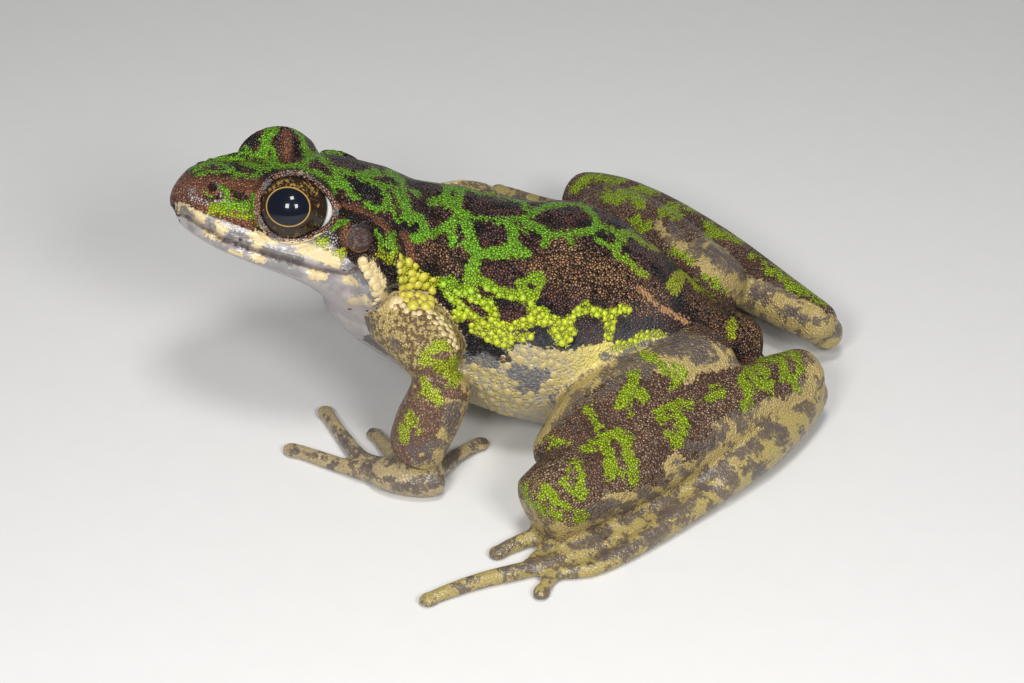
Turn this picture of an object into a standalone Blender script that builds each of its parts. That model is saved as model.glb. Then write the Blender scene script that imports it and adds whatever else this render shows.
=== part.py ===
"""A wuyi sharp-nosed frog at rest, life size, with one solid for each part of its body.

The frog faces -X with its left side towards -Y, and +Z is up. Sizes are in millimetres and become metres
when a mesh is made. At the end the whole animal is moved so that the origin lies on the ground at the middle
of its box.
"""

import math

import bmesh
import bpy
from mathutils import Matrix, Vector

MM = 0.001
GAP = 0.3
MERGE = 0.000003
LEFT = -1.0
RIGHT = 1.0

# Driving sizes
HEAD_PIVOT = Vector((-12.0, 0.0, 23.9))
HEAD_YAW_DEG = 9.7
HEAD_PITCH_DEG = 15.6
HEAD_ROLL_DEG = 10.3
EYE_RADIUS = 4.2
EYE_GAP = 0.2
EYE_CENTRE = Vector((-18.1, 7.4, 5.0))
EYE_OPENING = 3.8
BROW_RADII = (4.95, 5.0, 4.95)
EYE_RISE_DEG = 20.0
EYE_LEAD_DEG = 12.0
EAR_RADIUS = 1.8
EAR_CENTRE = Vector((-10.0, 11.8, 3.9))
HIP = {LEFT: Vector((27.2, -6.0, 10.0)), RIGHT: Vector((28.0, 6.8, 10.0))}
KNEE = {LEFT: Vector((5.6, -29.2, 0.0)), RIGHT: Vector((12.0, 34.6, 0.0))}
HEEL = {LEFT: Vector((37.6, -5.0, 0.0)), RIGHT: Vector((41.4, 6.4, 0.0))}
SHANK_TAPER = {LEFT: 0.0, RIGHT: 0.0055}
SHOULDER_SHIFT = {LEFT: Vector((0.0, 0.0, 0.0)), RIGHT: Vector((2.8, 0.4, -1.2))}
ELBOW_SHIFT = {LEFT: Vector((0.0, 0.0, 0.0)), RIGHT: Vector((5.4, 3.4, -1.2))}
HAND_SHIFT = {LEFT: Vector((0.0, 0.0, 0.0)), RIGHT: Vector((5.6, 5.4, 0.0))}
HAND_TURN_DEG = {LEFT: 0.0, RIGHT: 30.0}
NOSTRIL = Vector((-27.3, 4.6, 4.5))
NECK_POINT = Vector((-14.0, 0.0, 24.0))
NECK_LEAN_DEG = 28.0

# Colours as red, green, blue, with roughness
SKIN_BACK = ((0.16, 0.10, 0.05), 0.45)
SKIN_LIMB = ((0.30, 0.26, 0.10), 0.45)
EYE_BLACK = ((0.01, 0.008, 0.004), 0.05)
EAR_BROWN = ((0.12, 0.06, 0.035), 0.4)


def clear_scene():
    for obj in list(bpy.data.objects):
        bpy.data.objects.remove(obj)


def material(name, finish):
    """A plain finish with its colour and roughness."""
    colour, roughness = finish
    made = bpy.data.materials.new(name)
    made.use_nodes = True
    shader = made.node_tree.nodes["Principled BSDF"]
    shader.inputs["Base Color"].default_value = (*colour, 1.0)
    shader.inputs["Roughness"].default_value = roughness
    shader.inputs["Metallic"].default_value = 0.0
    return made


# Smooth paths and closed lofts


def blend(rows, t):
    """The row at t, from 0 to 1, on a smooth curve through rows of numbers."""
    last = len(rows) - 1
    place = min(max(t, 0.0), 1.0) * last
    k = min(int(place), last - 1)
    u = place - k
    a, b, c, d = (rows[min(max(i, 0), last)] for i in (k - 1, k, k + 1, k + 2))
    return [
        0.5 * (2 * q + (r - p) * u + (2 * p - 5 * q + 4 * r - s) * u * u + (3 * q - p - 3 * r + s) * u**3)
        for p, q, r, s in zip(a, b, c, d)
    ]


def ring_places(count, cap, steps):
    """Places from 0 to 1 along a loft, with its share of narrowing, closer together in the round ends."""
    first, last = cap
    places = []
    for k in range(1, steps + 1):
        turn = 0.5 * math.pi * k / (steps + 0.5)
        places.append((first * (1 - math.cos(turn)), math.sin(turn)))
    middle = max(count, 2)
    for k in range(middle + 1):
        places.append((first + (1 - first - last) * k / middle, 1.0))
    for k in range(steps, 0, -1):
        turn = 0.5 * math.pi * k / (steps + 0.5)
        places.append((1 - last * (1 - math.cos(turn)), math.sin(turn)))
    return places


def power(value, exponent):
    return math.copysign(abs(value) ** exponent, value)


def loft(name, rows, count, sides, up=(0, 0, 1), cap=(0.08, 0.08), square=(2.0, 2.0), steps=3, grow=0.0):
    """A closed tube through rows of x, y, z, half width, height above and depth below its line.

    Its ends are round over the share cap of the path. square is the exponent of the upper and lower halves
    of its section, 2 for an ellipse and more for a boxier one. grow makes it that much thicker all over.
    """
    mesh = bmesh.new()
    up = Vector(up)
    rings = []
    ends = [Vector(blend(rows, t)[:3]) for t in (0.0, 1.0)]
    starts = [Vector(blend(rows, t)[:3]) for t in (0.02, 0.98)]
    poles = [end + (end - near).normalized() * grow for end, near in zip(ends, starts)]
    for t, share in ring_places(count, cap, steps):
        x, y, z, wide, above, below = blend(rows, t)
        ahead = Vector(blend(rows, min(t + 0.01, 1.0))[:3]) - Vector(blend(rows, max(t - 0.01, 0.0))[:3])
        ahead.normalize()
        side = ahead.cross(up).normalized()
        top = side.cross(ahead).normalized()
        ring = []
        for k in range(sides):
            angle = 2 * math.pi * (k + 0.5) / sides
            exponent = 2 / (square[0] if math.sin(angle) > 0 else square[1])
            height = above if math.sin(angle) > 0 else below
            across = (wide * share + grow) * power(math.cos(angle), exponent)
            upward = (height * share + grow) * power(math.sin(angle), exponent)
            ring.append(mesh.verts.new(Vector((x, y, z)) + side * across + top * upward))
        rings.append(ring)
    for near, far in zip(rings, rings[1:]):
        for k in range(sides):
            j = (k + 1) % sides
            mesh.faces.new((near[k], near[j], far[j], far[k]))
    for ring, place in ((rings[0], poles[0]), (rings[-1], poles[1])):
        pole = mesh.verts.new(place)
        for k in range(sides):
            mesh.faces.new((ring[k], ring[(k + 1) % sides], pole))
    return finish_mesh(name, mesh)


def finish_mesh(name, mesh):
    """An object from a closed bmesh in millimetres, with its faces turned outwards."""
    bmesh.ops.recalc_face_normals(mesh, faces=mesh.faces)
    bmesh.ops.triangulate(mesh, faces=mesh.faces)
    bmesh.ops.scale(mesh, vec=(MM, MM, MM), verts=mesh.verts)
    data = bpy.data.meshes.new(name)
    mesh.to_mesh(data)
    mesh.free()
    obj = bpy.data.objects.new(name, data)
    bpy.context.scene.collection.objects.link(obj)
    return obj


def ball(name, centre, radii, turn=None, segments=24, rings=14):
    """An ellipsoid of the given half sizes."""
    mesh = bmesh.new()
    bmesh.ops.create_uvsphere(mesh, u_segments=segments, v_segments=rings, radius=1.0)
    place = Matrix.Translation(Vector(centre))
    size = Matrix.Diagonal((*radii, 1.0))
    bmesh.ops.transform(mesh, matrix=place @ (turn or Matrix.Identity(4)) @ size, verts=mesh.verts)
    return finish_mesh(name, mesh)


def rod(name, start, end, radius, segments=24, end_radius=None):
    """A straight cylinder or cone between two points."""
    start, end = Vector(start), Vector(end)
    mesh = bmesh.new()
    bmesh.ops.create_cone(
        mesh,
        cap_ends=True,
        segments=segments,
        radius1=radius,
        radius2=radius if end_radius is None else end_radius,
        depth=(end - start).length,
    )
    turn = (end - start).to_track_quat("Z", "Y").to_matrix().to_4x4()
    bmesh.ops.transform(mesh, matrix=Matrix.Translation((start + end) / 2) @ turn, verts=mesh.verts)
    return finish_mesh(name, mesh)


def hoop(name, centre, axis, radius, thickness, segments=28, sides=8):
    """A ring of round section about an axis."""
    centre = Vector(centre)
    turn = Vector(axis).to_track_quat("Z", "Y").to_matrix()
    mesh = bmesh.new()
    rows = []
    for k in range(segments):
        around = 2 * math.pi * k / segments
        spoke = turn @ Vector((math.cos(around), math.sin(around), 0))
        rise = turn @ Vector((0, 0, 1))
        row = []
        for j in range(sides):
            angle = 2 * math.pi * j / sides
            out = spoke * (radius + thickness * math.cos(angle))
            row.append(mesh.verts.new(centre + out + rise * thickness * math.sin(angle)))
        rows.append(row)
    for k in range(segments):
        near, far = rows[k], rows[(k + 1) % segments]
        for j in range(sides):
            i = (j + 1) % sides
            mesh.faces.new((near[j], near[i], far[i], far[j]))
    return finish_mesh(name, mesh)


def web(name, first, second, reach, thick=0.7, steps=5):
    """A thin skin between two toes, each given as path rows, out to the share reach of their lengths."""
    mesh = bmesh.new()
    lift = Vector((0, 0, thick / 2))
    rows = []
    for k in range(steps + 1):
        t = reach * k / steps
        a, b = Vector(blend(first, t)[:3]), Vector(blend(second, t)[:3])
        rows.append([mesh.verts.new(p) for p in (a - lift, b - lift, b + lift, a + lift)])
    for near, far in zip(rows, rows[1:]):
        for k in range(4):
            j = (k + 1) % 4
            mesh.faces.new((near[k], near[j], far[j], far[k]))
    mesh.faces.new(rows[0])
    mesh.faces.new(rows[-1])
    return finish_mesh(name, mesh)


def block(name, centre, turn, half):
    """A box of half sizes about a centre, turned by a matrix."""
    mesh = bmesh.new()
    bmesh.ops.create_cube(mesh, size=2.0)
    place = Matrix.Translation(Vector(centre)) @ turn @ Matrix.Diagonal((*half, 1.0))
    bmesh.ops.transform(mesh, matrix=place, verts=mesh.verts)
    return finish_mesh(name, mesh)


# Joining and cutting


def boolean(obj, others, operation):
    """Joins or cuts obj with a collection of closed meshes, which are then removed."""
    group = bpy.data.collections.new(obj.name + "_tools")
    for other in others:
        group.objects.link(other)
    modifier = obj.modifiers.new(operation.title(), "BOOLEAN")
    modifier.operation = operation
    modifier.solver = "MANIFOLD"
    modifier.operand_type = "COLLECTION"
    modifier.collection = group
    graph = bpy.context.evaluated_depsgraph_get()
    made = bpy.data.meshes.new_from_object(obj.evaluated_get(graph))
    obj.modifiers.clear()
    obj.data = made
    for other in others:
        bpy.data.objects.remove(other)
    bpy.data.collections.remove(group)
    keep_largest(obj)
    return obj


def keep_largest(obj):
    """Leaves only the closed surface that holds the most room, with no two corners closer than MERGE."""
    mesh = bmesh.new()
    mesh.from_mesh(obj.data)
    bmesh.ops.remove_doubles(mesh, verts=mesh.verts, dist=MERGE)
    mesh.faces.ensure_lookup_table()
    unseen = set(mesh.faces)
    islands = []
    while unseen:
        seed = unseen.pop()
        island, edge_of_growth = {seed}, [seed]
        while edge_of_growth:
            face = edge_of_growth.pop()
            for edge in face.edges:
                for beside in edge.link_faces:
                    if beside in unseen:
                        unseen.remove(beside)
                        island.add(beside)
                        edge_of_growth.append(beside)
        islands.append(island)
    if len(islands) > 1:
        room = [abs(sum(f.calc_center_median().dot(f.normal) * f.calc_area() for f in i)) for i in islands]
        largest = islands[room.index(max(room))]
        scraps = [f for f in mesh.faces if f not in largest]
        bmesh.ops.delete(mesh, geom=scraps, context="FACES")
    mesh.to_mesh(obj.data)
    mesh.free()


def unite(name, pieces):
    """One closed body from overlapping pieces."""
    whole = pieces[0]
    whole.name = name
    whole.data.name = name
    return boolean(whole, pieces[1:], "UNION") if len(pieces) > 1 else whole


def cut(obj, cutters):
    return boolean(obj, cutters, "DIFFERENCE")


def thin_out(obj, share):
    """Leaves about the given share of a mesh's triangles, the ones that shape it most."""
    modifier = obj.modifiers.new("Thin out", "DECIMATE")
    modifier.ratio = share
    modifier.use_collapse_triangulate = True
    graph = bpy.context.evaluated_depsgraph_get()
    made = bpy.data.meshes.new_from_object(obj.evaluated_get(graph))
    obj.modifiers.clear()
    obj.data = made
    return obj


def copy_of(obj, name):
    twin = obj.copy()
    twin.data = obj.data.copy()
    twin.name = name
    bpy.context.scene.collection.objects.link(twin)
    return twin


def ground_block():
    """What lies below the ground, cut from all that stands on it."""
    return block("ground", (0, 0, -20), Matrix.Identity(4), (90, 90, 20))


# Head and trunk

TRUNK_ROWS = [
    (-22.0, 0, 24.2, 8.2, 6.0, 7.2),
    (-17.0, 0, 21.4, 11.2, 11.2, 9.3),
    (-12.0, 0, 17.9, 12.8, 13.9, 9.5),
    (-6.0, 0, 14.5, 14.2, 14.7, 9.9),
    (1.0, 0, 12.0, 15.8, 15.3, 10.5),
    (8.0, 0, 11.0, 15.9, 16.0, 11.35),
    (14.0, 0, 10.5, 13.4, 13.8, 10.85),
    (20.0, 0, 9.8, 10.0, 9.0, 9.0),
    (26.0, 0, 8.7, 7.0, 4.6, 6.2),
    (31.0, 0, 8.2, 4.6, 2.6, 3.2),
    (33.0, 0, 8.0, 2.6, 1.6, 2.0),
]
# The head in its own frame: x towards the nape, z up from the line of the mouth
CRANIUM_ROWS = [
    (-31.4, 0, 1.9, 1.4, 1.8, 1.2),
    (-30.0, 0, 1.5, 5.0, 3.8, 2.0),
    (-27.0, 0, 1.0, 7.2, 5.3, 2.0),
    (-23.0, 0, 0.1, 9.4, 6.6, 1.7),
    (-18.0, 0, -0.3, 11.4, 8.4, 1.6),
    (-13.0, 0, -0.5, 12.7, 9.4, 1.6),
    (-8.0, 0, -0.4, 13.0, 9.1, 2.2),
    (-2.0, 0, 0.0, 12.2, 7.6, 6.0),
    (4.0, 0, -1.0, 9.0, 4.0, 8.0),
]
JAW_ROWS = [
    (-30.3, 0, -0.3, 1.2, 0.5, 0.7),
    (-29.1, 0, -0.6, 4.2, 0.7, 1.2),
    (-26.0, 0, -1.1, 7.3, 0.7, 1.5),
    (-21.0, 0, -1.7, 9.9, 0.7, 1.8),
    (-15.5, 0, -2.0, 11.8, 0.8, 2.8),
    (-12.0, 0, -2.1, 12.3, 1.0, 4.9),
    (-9.0, 0, -2.1, 12.4, 1.6, 7.4),
    (-4.0, 0, -2.0, 11.5, 2.0, 11.0),
    (2.0, 0, -3.0, 9.0, 3.0, 11.0),
]


def head_turn():
    """The place and turn of the head's own frame on the body."""
    yaw = Matrix.Rotation(math.radians(HEAD_YAW_DEG), 4, "Z")
    pitch = Matrix.Rotation(math.radians(HEAD_PITCH_DEG), 4, "Y")
    roll = Matrix.Rotation(-math.radians(HEAD_ROLL_DEG), 4, "X")
    return Matrix.Translation(HEAD_PIVOT) @ yaw @ pitch @ roll


def turned(pieces):
    """Takes pieces from the head's own frame to their place on the body."""
    turn = head_turn()
    turn.translation *= MM
    for piece in pieces:
        piece.data.transform(turn)
    return pieces


def trunk(grow=0.0):
    return loft("trunk", TRUNK_ROWS, 18, 24, square=(2.0, 2.05), cap=(0.05, 0.05), grow=grow)


def skull(grow=0.0):
    return loft("skull", CRANIUM_ROWS, 14, 24, cap=(0.06, 0.04), grow=grow)


def jaw(grow=0.0):
    return loft("jaw", JAW_ROWS, 12, 24, cap=(0.07, 0.04), steps=2, grow=grow)


def on_side(point, side):
    return Vector((point[0], side * point[1], point[2]))


def eye_axis(side):
    """The way an eye looks, out to its side, a little up and forward."""
    rise, lead = math.radians(EYE_RISE_DEG), math.radians(EYE_LEAD_DEG)
    return Vector((-math.sin(lead) * math.cos(rise), side * math.cos(lead) * math.cos(rise), math.sin(rise)))


def ear_axis(side):
    return Vector((0.0, side, 0.42)).normalized()


def cheek(side, grow=0.0):
    """The fold over the ear and the gland behind the corner of the mouth."""
    fold_rows = [
        (-13.6, 9.8, 5.5, 0.8, 0.8, 0.8),
        (-10.6, 11.0, 5.7, 0.9, 0.9, 0.9),
        (-7.4, 12.1, 4.9, 0.9, 0.9, 0.9),
        (-5.6, 13.0, 2.2, 0.9, 0.9, 0.9),
        (-5.2, 12.9, -1.2, 0.8, 0.8, 0.8),
    ]
    gland_rows = [
        (-9.6, 12.2, 0.2, 0.8, 0.8, 0.8),
        (-8.4, 12.6, -1.2, 1.3, 1.3, 1.3),
        (-7.2, 12.4, -3.2, 1.3, 1.3, 1.3),
        (-7.0, 12.0, -4.6, 0.9, 0.9, 0.9),
    ]
    return [
        loft("fold", mirrored(fold_rows, side), 6, 8, steps=2, grow=grow),
        loft("gland", mirrored(gland_rows, side), 4, 8, steps=2, grow=grow),
    ]


def head_pieces(side):
    """The brow, lids, snout ridge, ear rim and nostril rim of one side of the head."""
    eye = on_side(EYE_CENTRE, side)
    axis = eye_axis(side)
    nostril = on_side(NOSTRIL, side)
    ridge_rows = [
        (-28.6, 3.9, 3.7, 0.5, 0.5, 0.5),
        (-26.0, 5.0, 4.8, 0.7, 0.7, 0.7),
        (-22.6, 6.6, 5.5, 0.9, 0.9, 0.9),
    ]
    lid_seat = math.sqrt((EYE_RADIUS + EYE_GAP) ** 2 - EYE_OPENING**2)
    return [
        ball("brow", eye, BROW_RADII, segments=24, rings=14),
        hoop("lids", eye + axis * lid_seat, axis, EYE_OPENING + 0.4, 0.5, 24, 6),
        hoop("ear_rim", on_side(EAR_CENTRE, side), ear_axis(side), EAR_RADIUS + 0.5, 0.4, 16, 6),
        hoop("nostril_rim", nostril, (-0.2, side, 0.9), 0.65, 0.2, 10, 6),
        loft("ridge", mirrored(ridge_rows, side), 4, 8, steps=2),
    ] + cheek(side)


def head_cutters(side):
    """The eye's socket and opening, the ear's seat and the nostril."""
    eye = on_side(EYE_CENTRE, side)
    ear = on_side(EAR_CENTRE, side)
    axis = eye_axis(side)
    out = ear_axis(side)
    nostril = on_side(NOSTRIL, side)
    way = Vector((-0.2, side, 0.9)).normalized()
    socket = EYE_RADIUS + EYE_GAP
    return [
        ball("socket", eye, (socket, socket, socket), segments=24, rings=14),
        rod("opening", eye, eye + axis * 12, EYE_OPENING, 24),
        rod("ear_seat", ear - out * 0.6, ear + out * 4, EAR_RADIUS + GAP, 16),
        rod("nostril", nostril - way * 1.2, nostril + way * 1.6, 0.5, 10),
    ]


def head_and_torso():
    """The body from snout to vent as one, parted at the neck."""
    pieces = [skull(), jaw()]
    cutters = []
    for side in (LEFT, RIGHT):
        pieces += head_pieces(side)
        cutters += head_cutters(side)
    whole = thin_out(unite("head", turned(pieces) + [trunk()]), 0.5)
    cut(whole, turned(cutters) + [ground_block()])
    torso = copy_of(whole, "torso")
    lean = Matrix.Rotation(math.radians(NECK_LEAN_DEG), 4, "Y")
    away = lean @ Vector((1, 0, 0))
    half = Vector((60, 60, 60))
    cut(whole, [block("behind", NECK_POINT + away * (half.x - GAP / 2), lean, half)])
    cut(torso, [block("before", NECK_POINT - away * (half.x - GAP / 2), lean, half)])
    return whole, torso


def eyeball(side, name):
    ball_in_place = ball(name, on_side(EYE_CENTRE, side), (EYE_RADIUS,) * 3, segments=20, rings=12)
    return turned([ball_in_place])[0]


def eardrum(side, name):
    centre = on_side(EAR_CENTRE, side)
    out = ear_axis(side)
    disc = rod(name, centre - out * (0.6 - GAP), centre + out * 0.4, EAR_RADIUS, 16, EAR_RADIUS * 0.9)
    return turned([disc])[0]


# Forelimbs

UPPER_ARM_ROWS = [
    (-14.8, 9.0, 20.5, 4.9, 4.9, 4.9),
    (-12.4, 12.4, 19.8, 4.5, 4.5, 4.5),
    (-9.8, 15.4, 18.2, 4.1, 4.1, 4.1),
    (-7.8, 17.4, 15.8, 3.6, 3.6, 3.6),
]
FOREARM_ROWS = [
    (-7.4, 17.4, 16.4, 3.4, 3.4, 3.4),
    (-8.9, 18.2, 12.6, 3.8, 3.9, 3.9),
    (-10.6, 19.0, 8.8, 4.1, 3.9, 3.9),
    (-12.2, 19.7, 4.4, 4.2, 3.3, 3.3),
]
WRIST = (-10.8, 20.7, 0.0)
PALM_ROWS = [
    (-8.2, 20.2, 2.0, 2.4, 1.6, 2.2),
    (-10.8, 20.7, 2.4, 2.8, 2.2, 2.6),
    (-14.2, 19.8, 2.2, 2.8, 2.0, 2.4),
    (-17.8, 18.3, 1.6, 1.9, 1.3, 1.7),
]
# Each finger's line from palm to tip, as x, y, z and half thickness
FINGER_LINES = [
    [(-12.4, 18.0, 2.2, 1.7), (-14.9, 14.8, 1.5, 1.15), (-16.2, 12.4, 1.1, 1.0), (-17.3, 10.4, 1.0, 0.95)],
    [(-13.2, 19.0, 2.2, 1.8), (-18.0, 16.8, 1.5, 1.25), (-21.3, 11.2, 1.1, 1.0), (-23.8, 5.9, 1.0, 0.95)],
    [(-13.6, 19.6, 2.2, 1.9), (-17.8, 18.7, 1.5, 1.25), (-22.2, 16.3, 1.1, 1.05), (-27.4, 13.5, 1.0, 1.0)],
    [(-10.2, 20.2, 2.2, 1.9), (-8.8, 18.0, 1.6, 1.4), (-6.8, 14.9, 1.1, 1.05), (-4.2, 12.4, 1.0, 0.95)],
]
FINGER_DISC = 1.3
# How far the digits reach below the ground, where they are cut flat
SINK = 0.12


def mirrored(rows, side):
    return [(row[0], side * row[1], *row[2:]) for row in rows]


def carried(rows, side, first, last):
    """Rows of an arm on its side, moved by the first amount at their start and by the last at their end."""
    moved = []
    for k, row in enumerate(mirrored(rows, side)):
        place = Vector(row[:3]) + first.lerp(last, k / (len(rows) - 1))
        moved.append((*place, *row[3:]))
    return moved


def hand_rows(rows, side):
    """Rows of a hand, turned outwards about the wrist by the side's own angle."""
    wrist = Vector(on_side(WRIST, side))
    turn = Matrix.Rotation(-side * math.radians(HAND_TURN_DEG[side]), 3, "Z")
    moved = []
    for row in mirrored(rows, side):
        place = wrist + turn @ (Vector(row[:3]) - wrist) + HAND_SHIFT[side]
        moved.append((*place, *row[3:]))
    return moved


def digit(name, line, disc):
    """A finger or toe with a flat disc at its tip."""
    rows = [(x, y, z - SINK, r, r, r) for x, y, z, r in line]
    tip, before = Vector(line[-1][:3]), Vector(line[-2][:3])
    way = (tip - before).normalized()
    end = tip + way * disc * 0.35
    turn = Matrix.Rotation(math.atan2(way.y, way.x), 4, "Z")
    place = (end.x, end.y, 0.8 - SINK)
    return [
        loft(name, rows, 2 * (len(rows) - 1), 8, cap=(0.1, 0.06), steps=2),
        ball(name + "_disc", place, (disc * 1.15, disc, 0.8), turn, segments=10, rings=6),
    ]


def upper_arm(name, side, grow=0.0):
    rows = carried(UPPER_ARM_ROWS, side, SHOULDER_SHIFT[side], ELBOW_SHIFT[side])
    return loft(name, rows, 6, 14, cap=(0.2, 0.25), steps=2, grow=grow)


def forearm(name, side, grow=0.0):
    rows = carried(FOREARM_ROWS, side, ELBOW_SHIFT[side], HAND_SHIFT[side])
    return loft(name, rows, 8, 14, up=(-1, side * 0.3, 0), cap=(0.2, 0.15), steps=2, grow=grow)


def head_grown(side):
    """The parts of the head near a shoulder, thicker by the gap."""
    return turned([skull(GAP), jaw(GAP)] + cheek(side, GAP))


def forelimb(side, suffix):
    upper = upper_arm("upper_arm_" + suffix, side)
    cut(upper, [trunk(GAP)] + head_grown(side))
    lower = forearm("forearm_" + suffix, side)
    cut(lower, [upper_arm("elbow", side, GAP), trunk(GAP)])
    pieces = [loft("palm", hand_rows(PALM_ROWS, side), 6, 12, cap=(0.15, 0.2), steps=2)]
    for k, line in enumerate(FINGER_LINES):
        pieces += digit(f"finger{k}", hand_rows(line, side), FINGER_DISC if k else FINGER_DISC * 0.9)
    hand = thin_out(unite("hand_" + suffix, pieces), 0.6)
    cut(hand, [forearm("wrist", side, GAP), ground_block()])
    return [upper, lower, hand]


# Hind limbs, given along the shank: distance from knee towards heel, distance outwards, height, half sizes

SHANK_ROWS = [
    (-4.2, 0.4, 5.8, 3.9, 4.2, 4.9),
    (2.0, 0.5, 7.1, 5.1, 5.0, 6.3),
    (11.0, 0.8, 7.4, 5.7, 5.3, 5.8),
    (22.0, 0.8, 7.2, 5.3, 5.0, 4.8),
    (33.0, 0.1, 6.8, 4.4, 4.4, 4.2),
    (42.5, 0.0, 6.2, 3.4, 3.4, 3.4),
]
THIGH_KNEE = (1.6, -1.8, 7.8, 4.6, 4.5, 4.4)
THIGH_MIDDLE = (14.0, -5.4, 9.6, 6.2, 6.0, 6.0)
THIGH_ROOT = (5.8, 5.2, 5.6)
TARSUS_ROWS = [
    (42.4, 0.6, 4.2, 2.2, 2.3, 2.3),
    (37.6, 2.8, 3.9, 2.7, 2.8, 2.8),
    (30.0, 5.1, 3.4, 2.9, 2.9, 2.9),
    (24.0, 6.2, 3.1, 2.7, 2.7, 2.8),
    (18.0, 6.9, 2.4, 2.5, 2.1, 2.2),
]
# Each toe's line from the tarsus to its tip, innermost first
TOE_LINES = [
    [(21.0, 5.8, 2.2, 1.2), (15.5, 4.0, 1.3, 0.95), (12.0, 2.4, 0.95, 0.85), (10.0, 1.6, 0.9, 0.8)],
    [(21.0, 6.0, 2.2, 1.4), (13.0, 4.4, 1.3, 1.05), (7.5, 2.0, 0.95, 0.9), (4.4, 0.6, 0.9, 0.85)],
    [
        (21.0, 6.4, 2.2, 1.6),
        (11.0, 4.8, 1.4, 1.2),
        (4.0, 2.2, 1.1, 1.15),
        (-2.4, -0.3, 1.1, 1.15),
        (-7.6, -1.0, 0.95, 1.0),
    ],
    [
        (21.0, 6.8, 2.4, 1.8),
        (12.0, 6.3, 1.8, 1.4),
        (3.0, 6.0, 1.3, 1.15),
        (-6.0, 4.2, 1.15, 1.15),
        (-13.0, 1.9, 1.05, 1.05),
        (-19.2, 0.8, 0.95, 0.95),
    ],
    [
        (21.0, 7.2, 2.4, 1.9),
        (13.0, 7.9, 1.9, 1.7),
        (5.0, 8.6, 1.4, 1.35),
        (-1.2, 8.3, 1.05, 1.05),
        (-4.9, 6.4, 0.95, 0.9),
        (-7.8, 7.6, 0.9, 0.85),
    ],
]
TOE_DISC = 1.2
WEB_REACH = (0.85, 0.75, 0.68, 0.55)


def leg_place(side):
    """A function that takes a point given along the shank to its place on the body."""
    knee = KNEE[side]
    along = (HEEL[side] - knee).normalized()
    out = Vector((along.y, -along.x, 0)) * -side

    def place(row):
        point = knee + along * row[0] + out * row[1]
        return (point.x, point.y, *row[2:])

    return place


def shank(name, side, grow=0.0):
    place = leg_place(side)
    rows = []
    for s, n, z, *half in SHANK_ROWS:
        girth = 1 - SHANK_TAPER[side] * max(s, 0.0)
        rows.append(place((s, n, z, *(size * girth for size in half))))
    return loft(name, rows, 12, 18, cap=(0.07, 0.06), grow=grow)


def thigh(name, side, grow=0.0):
    place = leg_place(side)
    rows = [(*HIP[side], *THIGH_ROOT), place(THIGH_MIDDLE), place(THIGH_KNEE)]
    return loft(name, rows, 9, 18, cap=(0.1, 0.12), grow=grow)


def hindlimb(side, suffix):
    place = leg_place(side)
    lower = cut(shank("shank_" + suffix, side), [trunk(GAP), ground_block()])
    upper = cut(thigh("thigh_" + suffix, side), [trunk(GAP), shank("beside", side, GAP), ground_block()])
    pieces = [loft("tarsus", [place(row) for row in TARSUS_ROWS], 8, 12, cap=(0.1, 0.1), steps=2)]
    lines = [[place(row) for row in line] for line in TOE_LINES]
    for k, line in enumerate(lines):
        pieces += digit(f"toe{k}", line, TOE_DISC * (0.85 if k < 2 else 1.0))
    for k, reach in enumerate(WEB_REACH):
        pieces.append(web(f"web{k}", lines[k], lines[k + 1], reach))
    foot = thin_out(unite("foot_" + suffix, pieces), 0.6)
    cut(foot, [shank("above", side, GAP), thigh("above_too", side, GAP), trunk(GAP), ground_block()])
    return [lower, upper, foot]


def centre_on_origin(parts):
    """Moves every part so that the origin is on the ground, at the middle of the whole box."""
    points = [v.co for obj in parts for v in obj.data.vertices]
    low = Vector([min(p[k] for p in points) for k in range(3)])
    high = Vector([max(p[k] for p in points) for k in range(3)])
    move = Vector((-(low.x + high.x) / 2, -(low.y + high.y) / 2, -low.z))
    for obj in parts:
        obj.data.transform(Matrix.Translation(move))


def main():
    clear_scene()
    head, torso = head_and_torso()
    back_skin = material("skin_back", SKIN_BACK)
    limb_skin = material("skin_limb", SKIN_LIMB)
    eye_finish = material("eye_gloss", EYE_BLACK)
    ear_finish = material("eardrum_skin", EAR_BROWN)
    finishes = [(head, back_skin), (torso, back_skin)]
    for side, suffix in ((LEFT, "left"), (RIGHT, "right")):
        finishes.append((eyeball(side, "eye_" + suffix), eye_finish))
        finishes.append((eardrum(side, "eardrum_" + suffix), ear_finish))
        finishes += [(obj, limb_skin) for obj in forelimb(side, suffix) + hindlimb(side, suffix)]
    for obj, finish in finishes:
        obj.data.materials.clear()
        obj.data.materials.append(finish)
        obj.data.shade_smooth()
    centre_on_origin([obj for obj, finish in finishes])


main()
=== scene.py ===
"""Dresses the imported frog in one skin, lids, warts, eyes and eardrums, and sets up its studio."""

import math

import bmesh
import bpy
import numpy as np
from mathutils import Matrix, Vector
from mathutils.bvhtree import BVHTree


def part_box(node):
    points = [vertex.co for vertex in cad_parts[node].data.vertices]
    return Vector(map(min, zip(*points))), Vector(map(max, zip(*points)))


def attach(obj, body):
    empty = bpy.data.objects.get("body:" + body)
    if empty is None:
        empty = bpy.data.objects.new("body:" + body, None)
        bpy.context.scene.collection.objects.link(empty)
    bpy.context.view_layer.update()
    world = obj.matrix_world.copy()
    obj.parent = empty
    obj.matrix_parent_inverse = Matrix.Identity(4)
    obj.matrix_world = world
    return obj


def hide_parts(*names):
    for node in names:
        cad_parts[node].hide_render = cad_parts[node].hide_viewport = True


bl_info = {
    "name": "Stream frog",
    "version": (1, 0, 0),
    "blender": (4, 5, 0),
    "location": "3D View > Sidebar > Frog",
    "description": "Builds the skin, eyes, eardrums, warts and stage of a life-size stream frog",
    "category": "Object",
}

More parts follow.
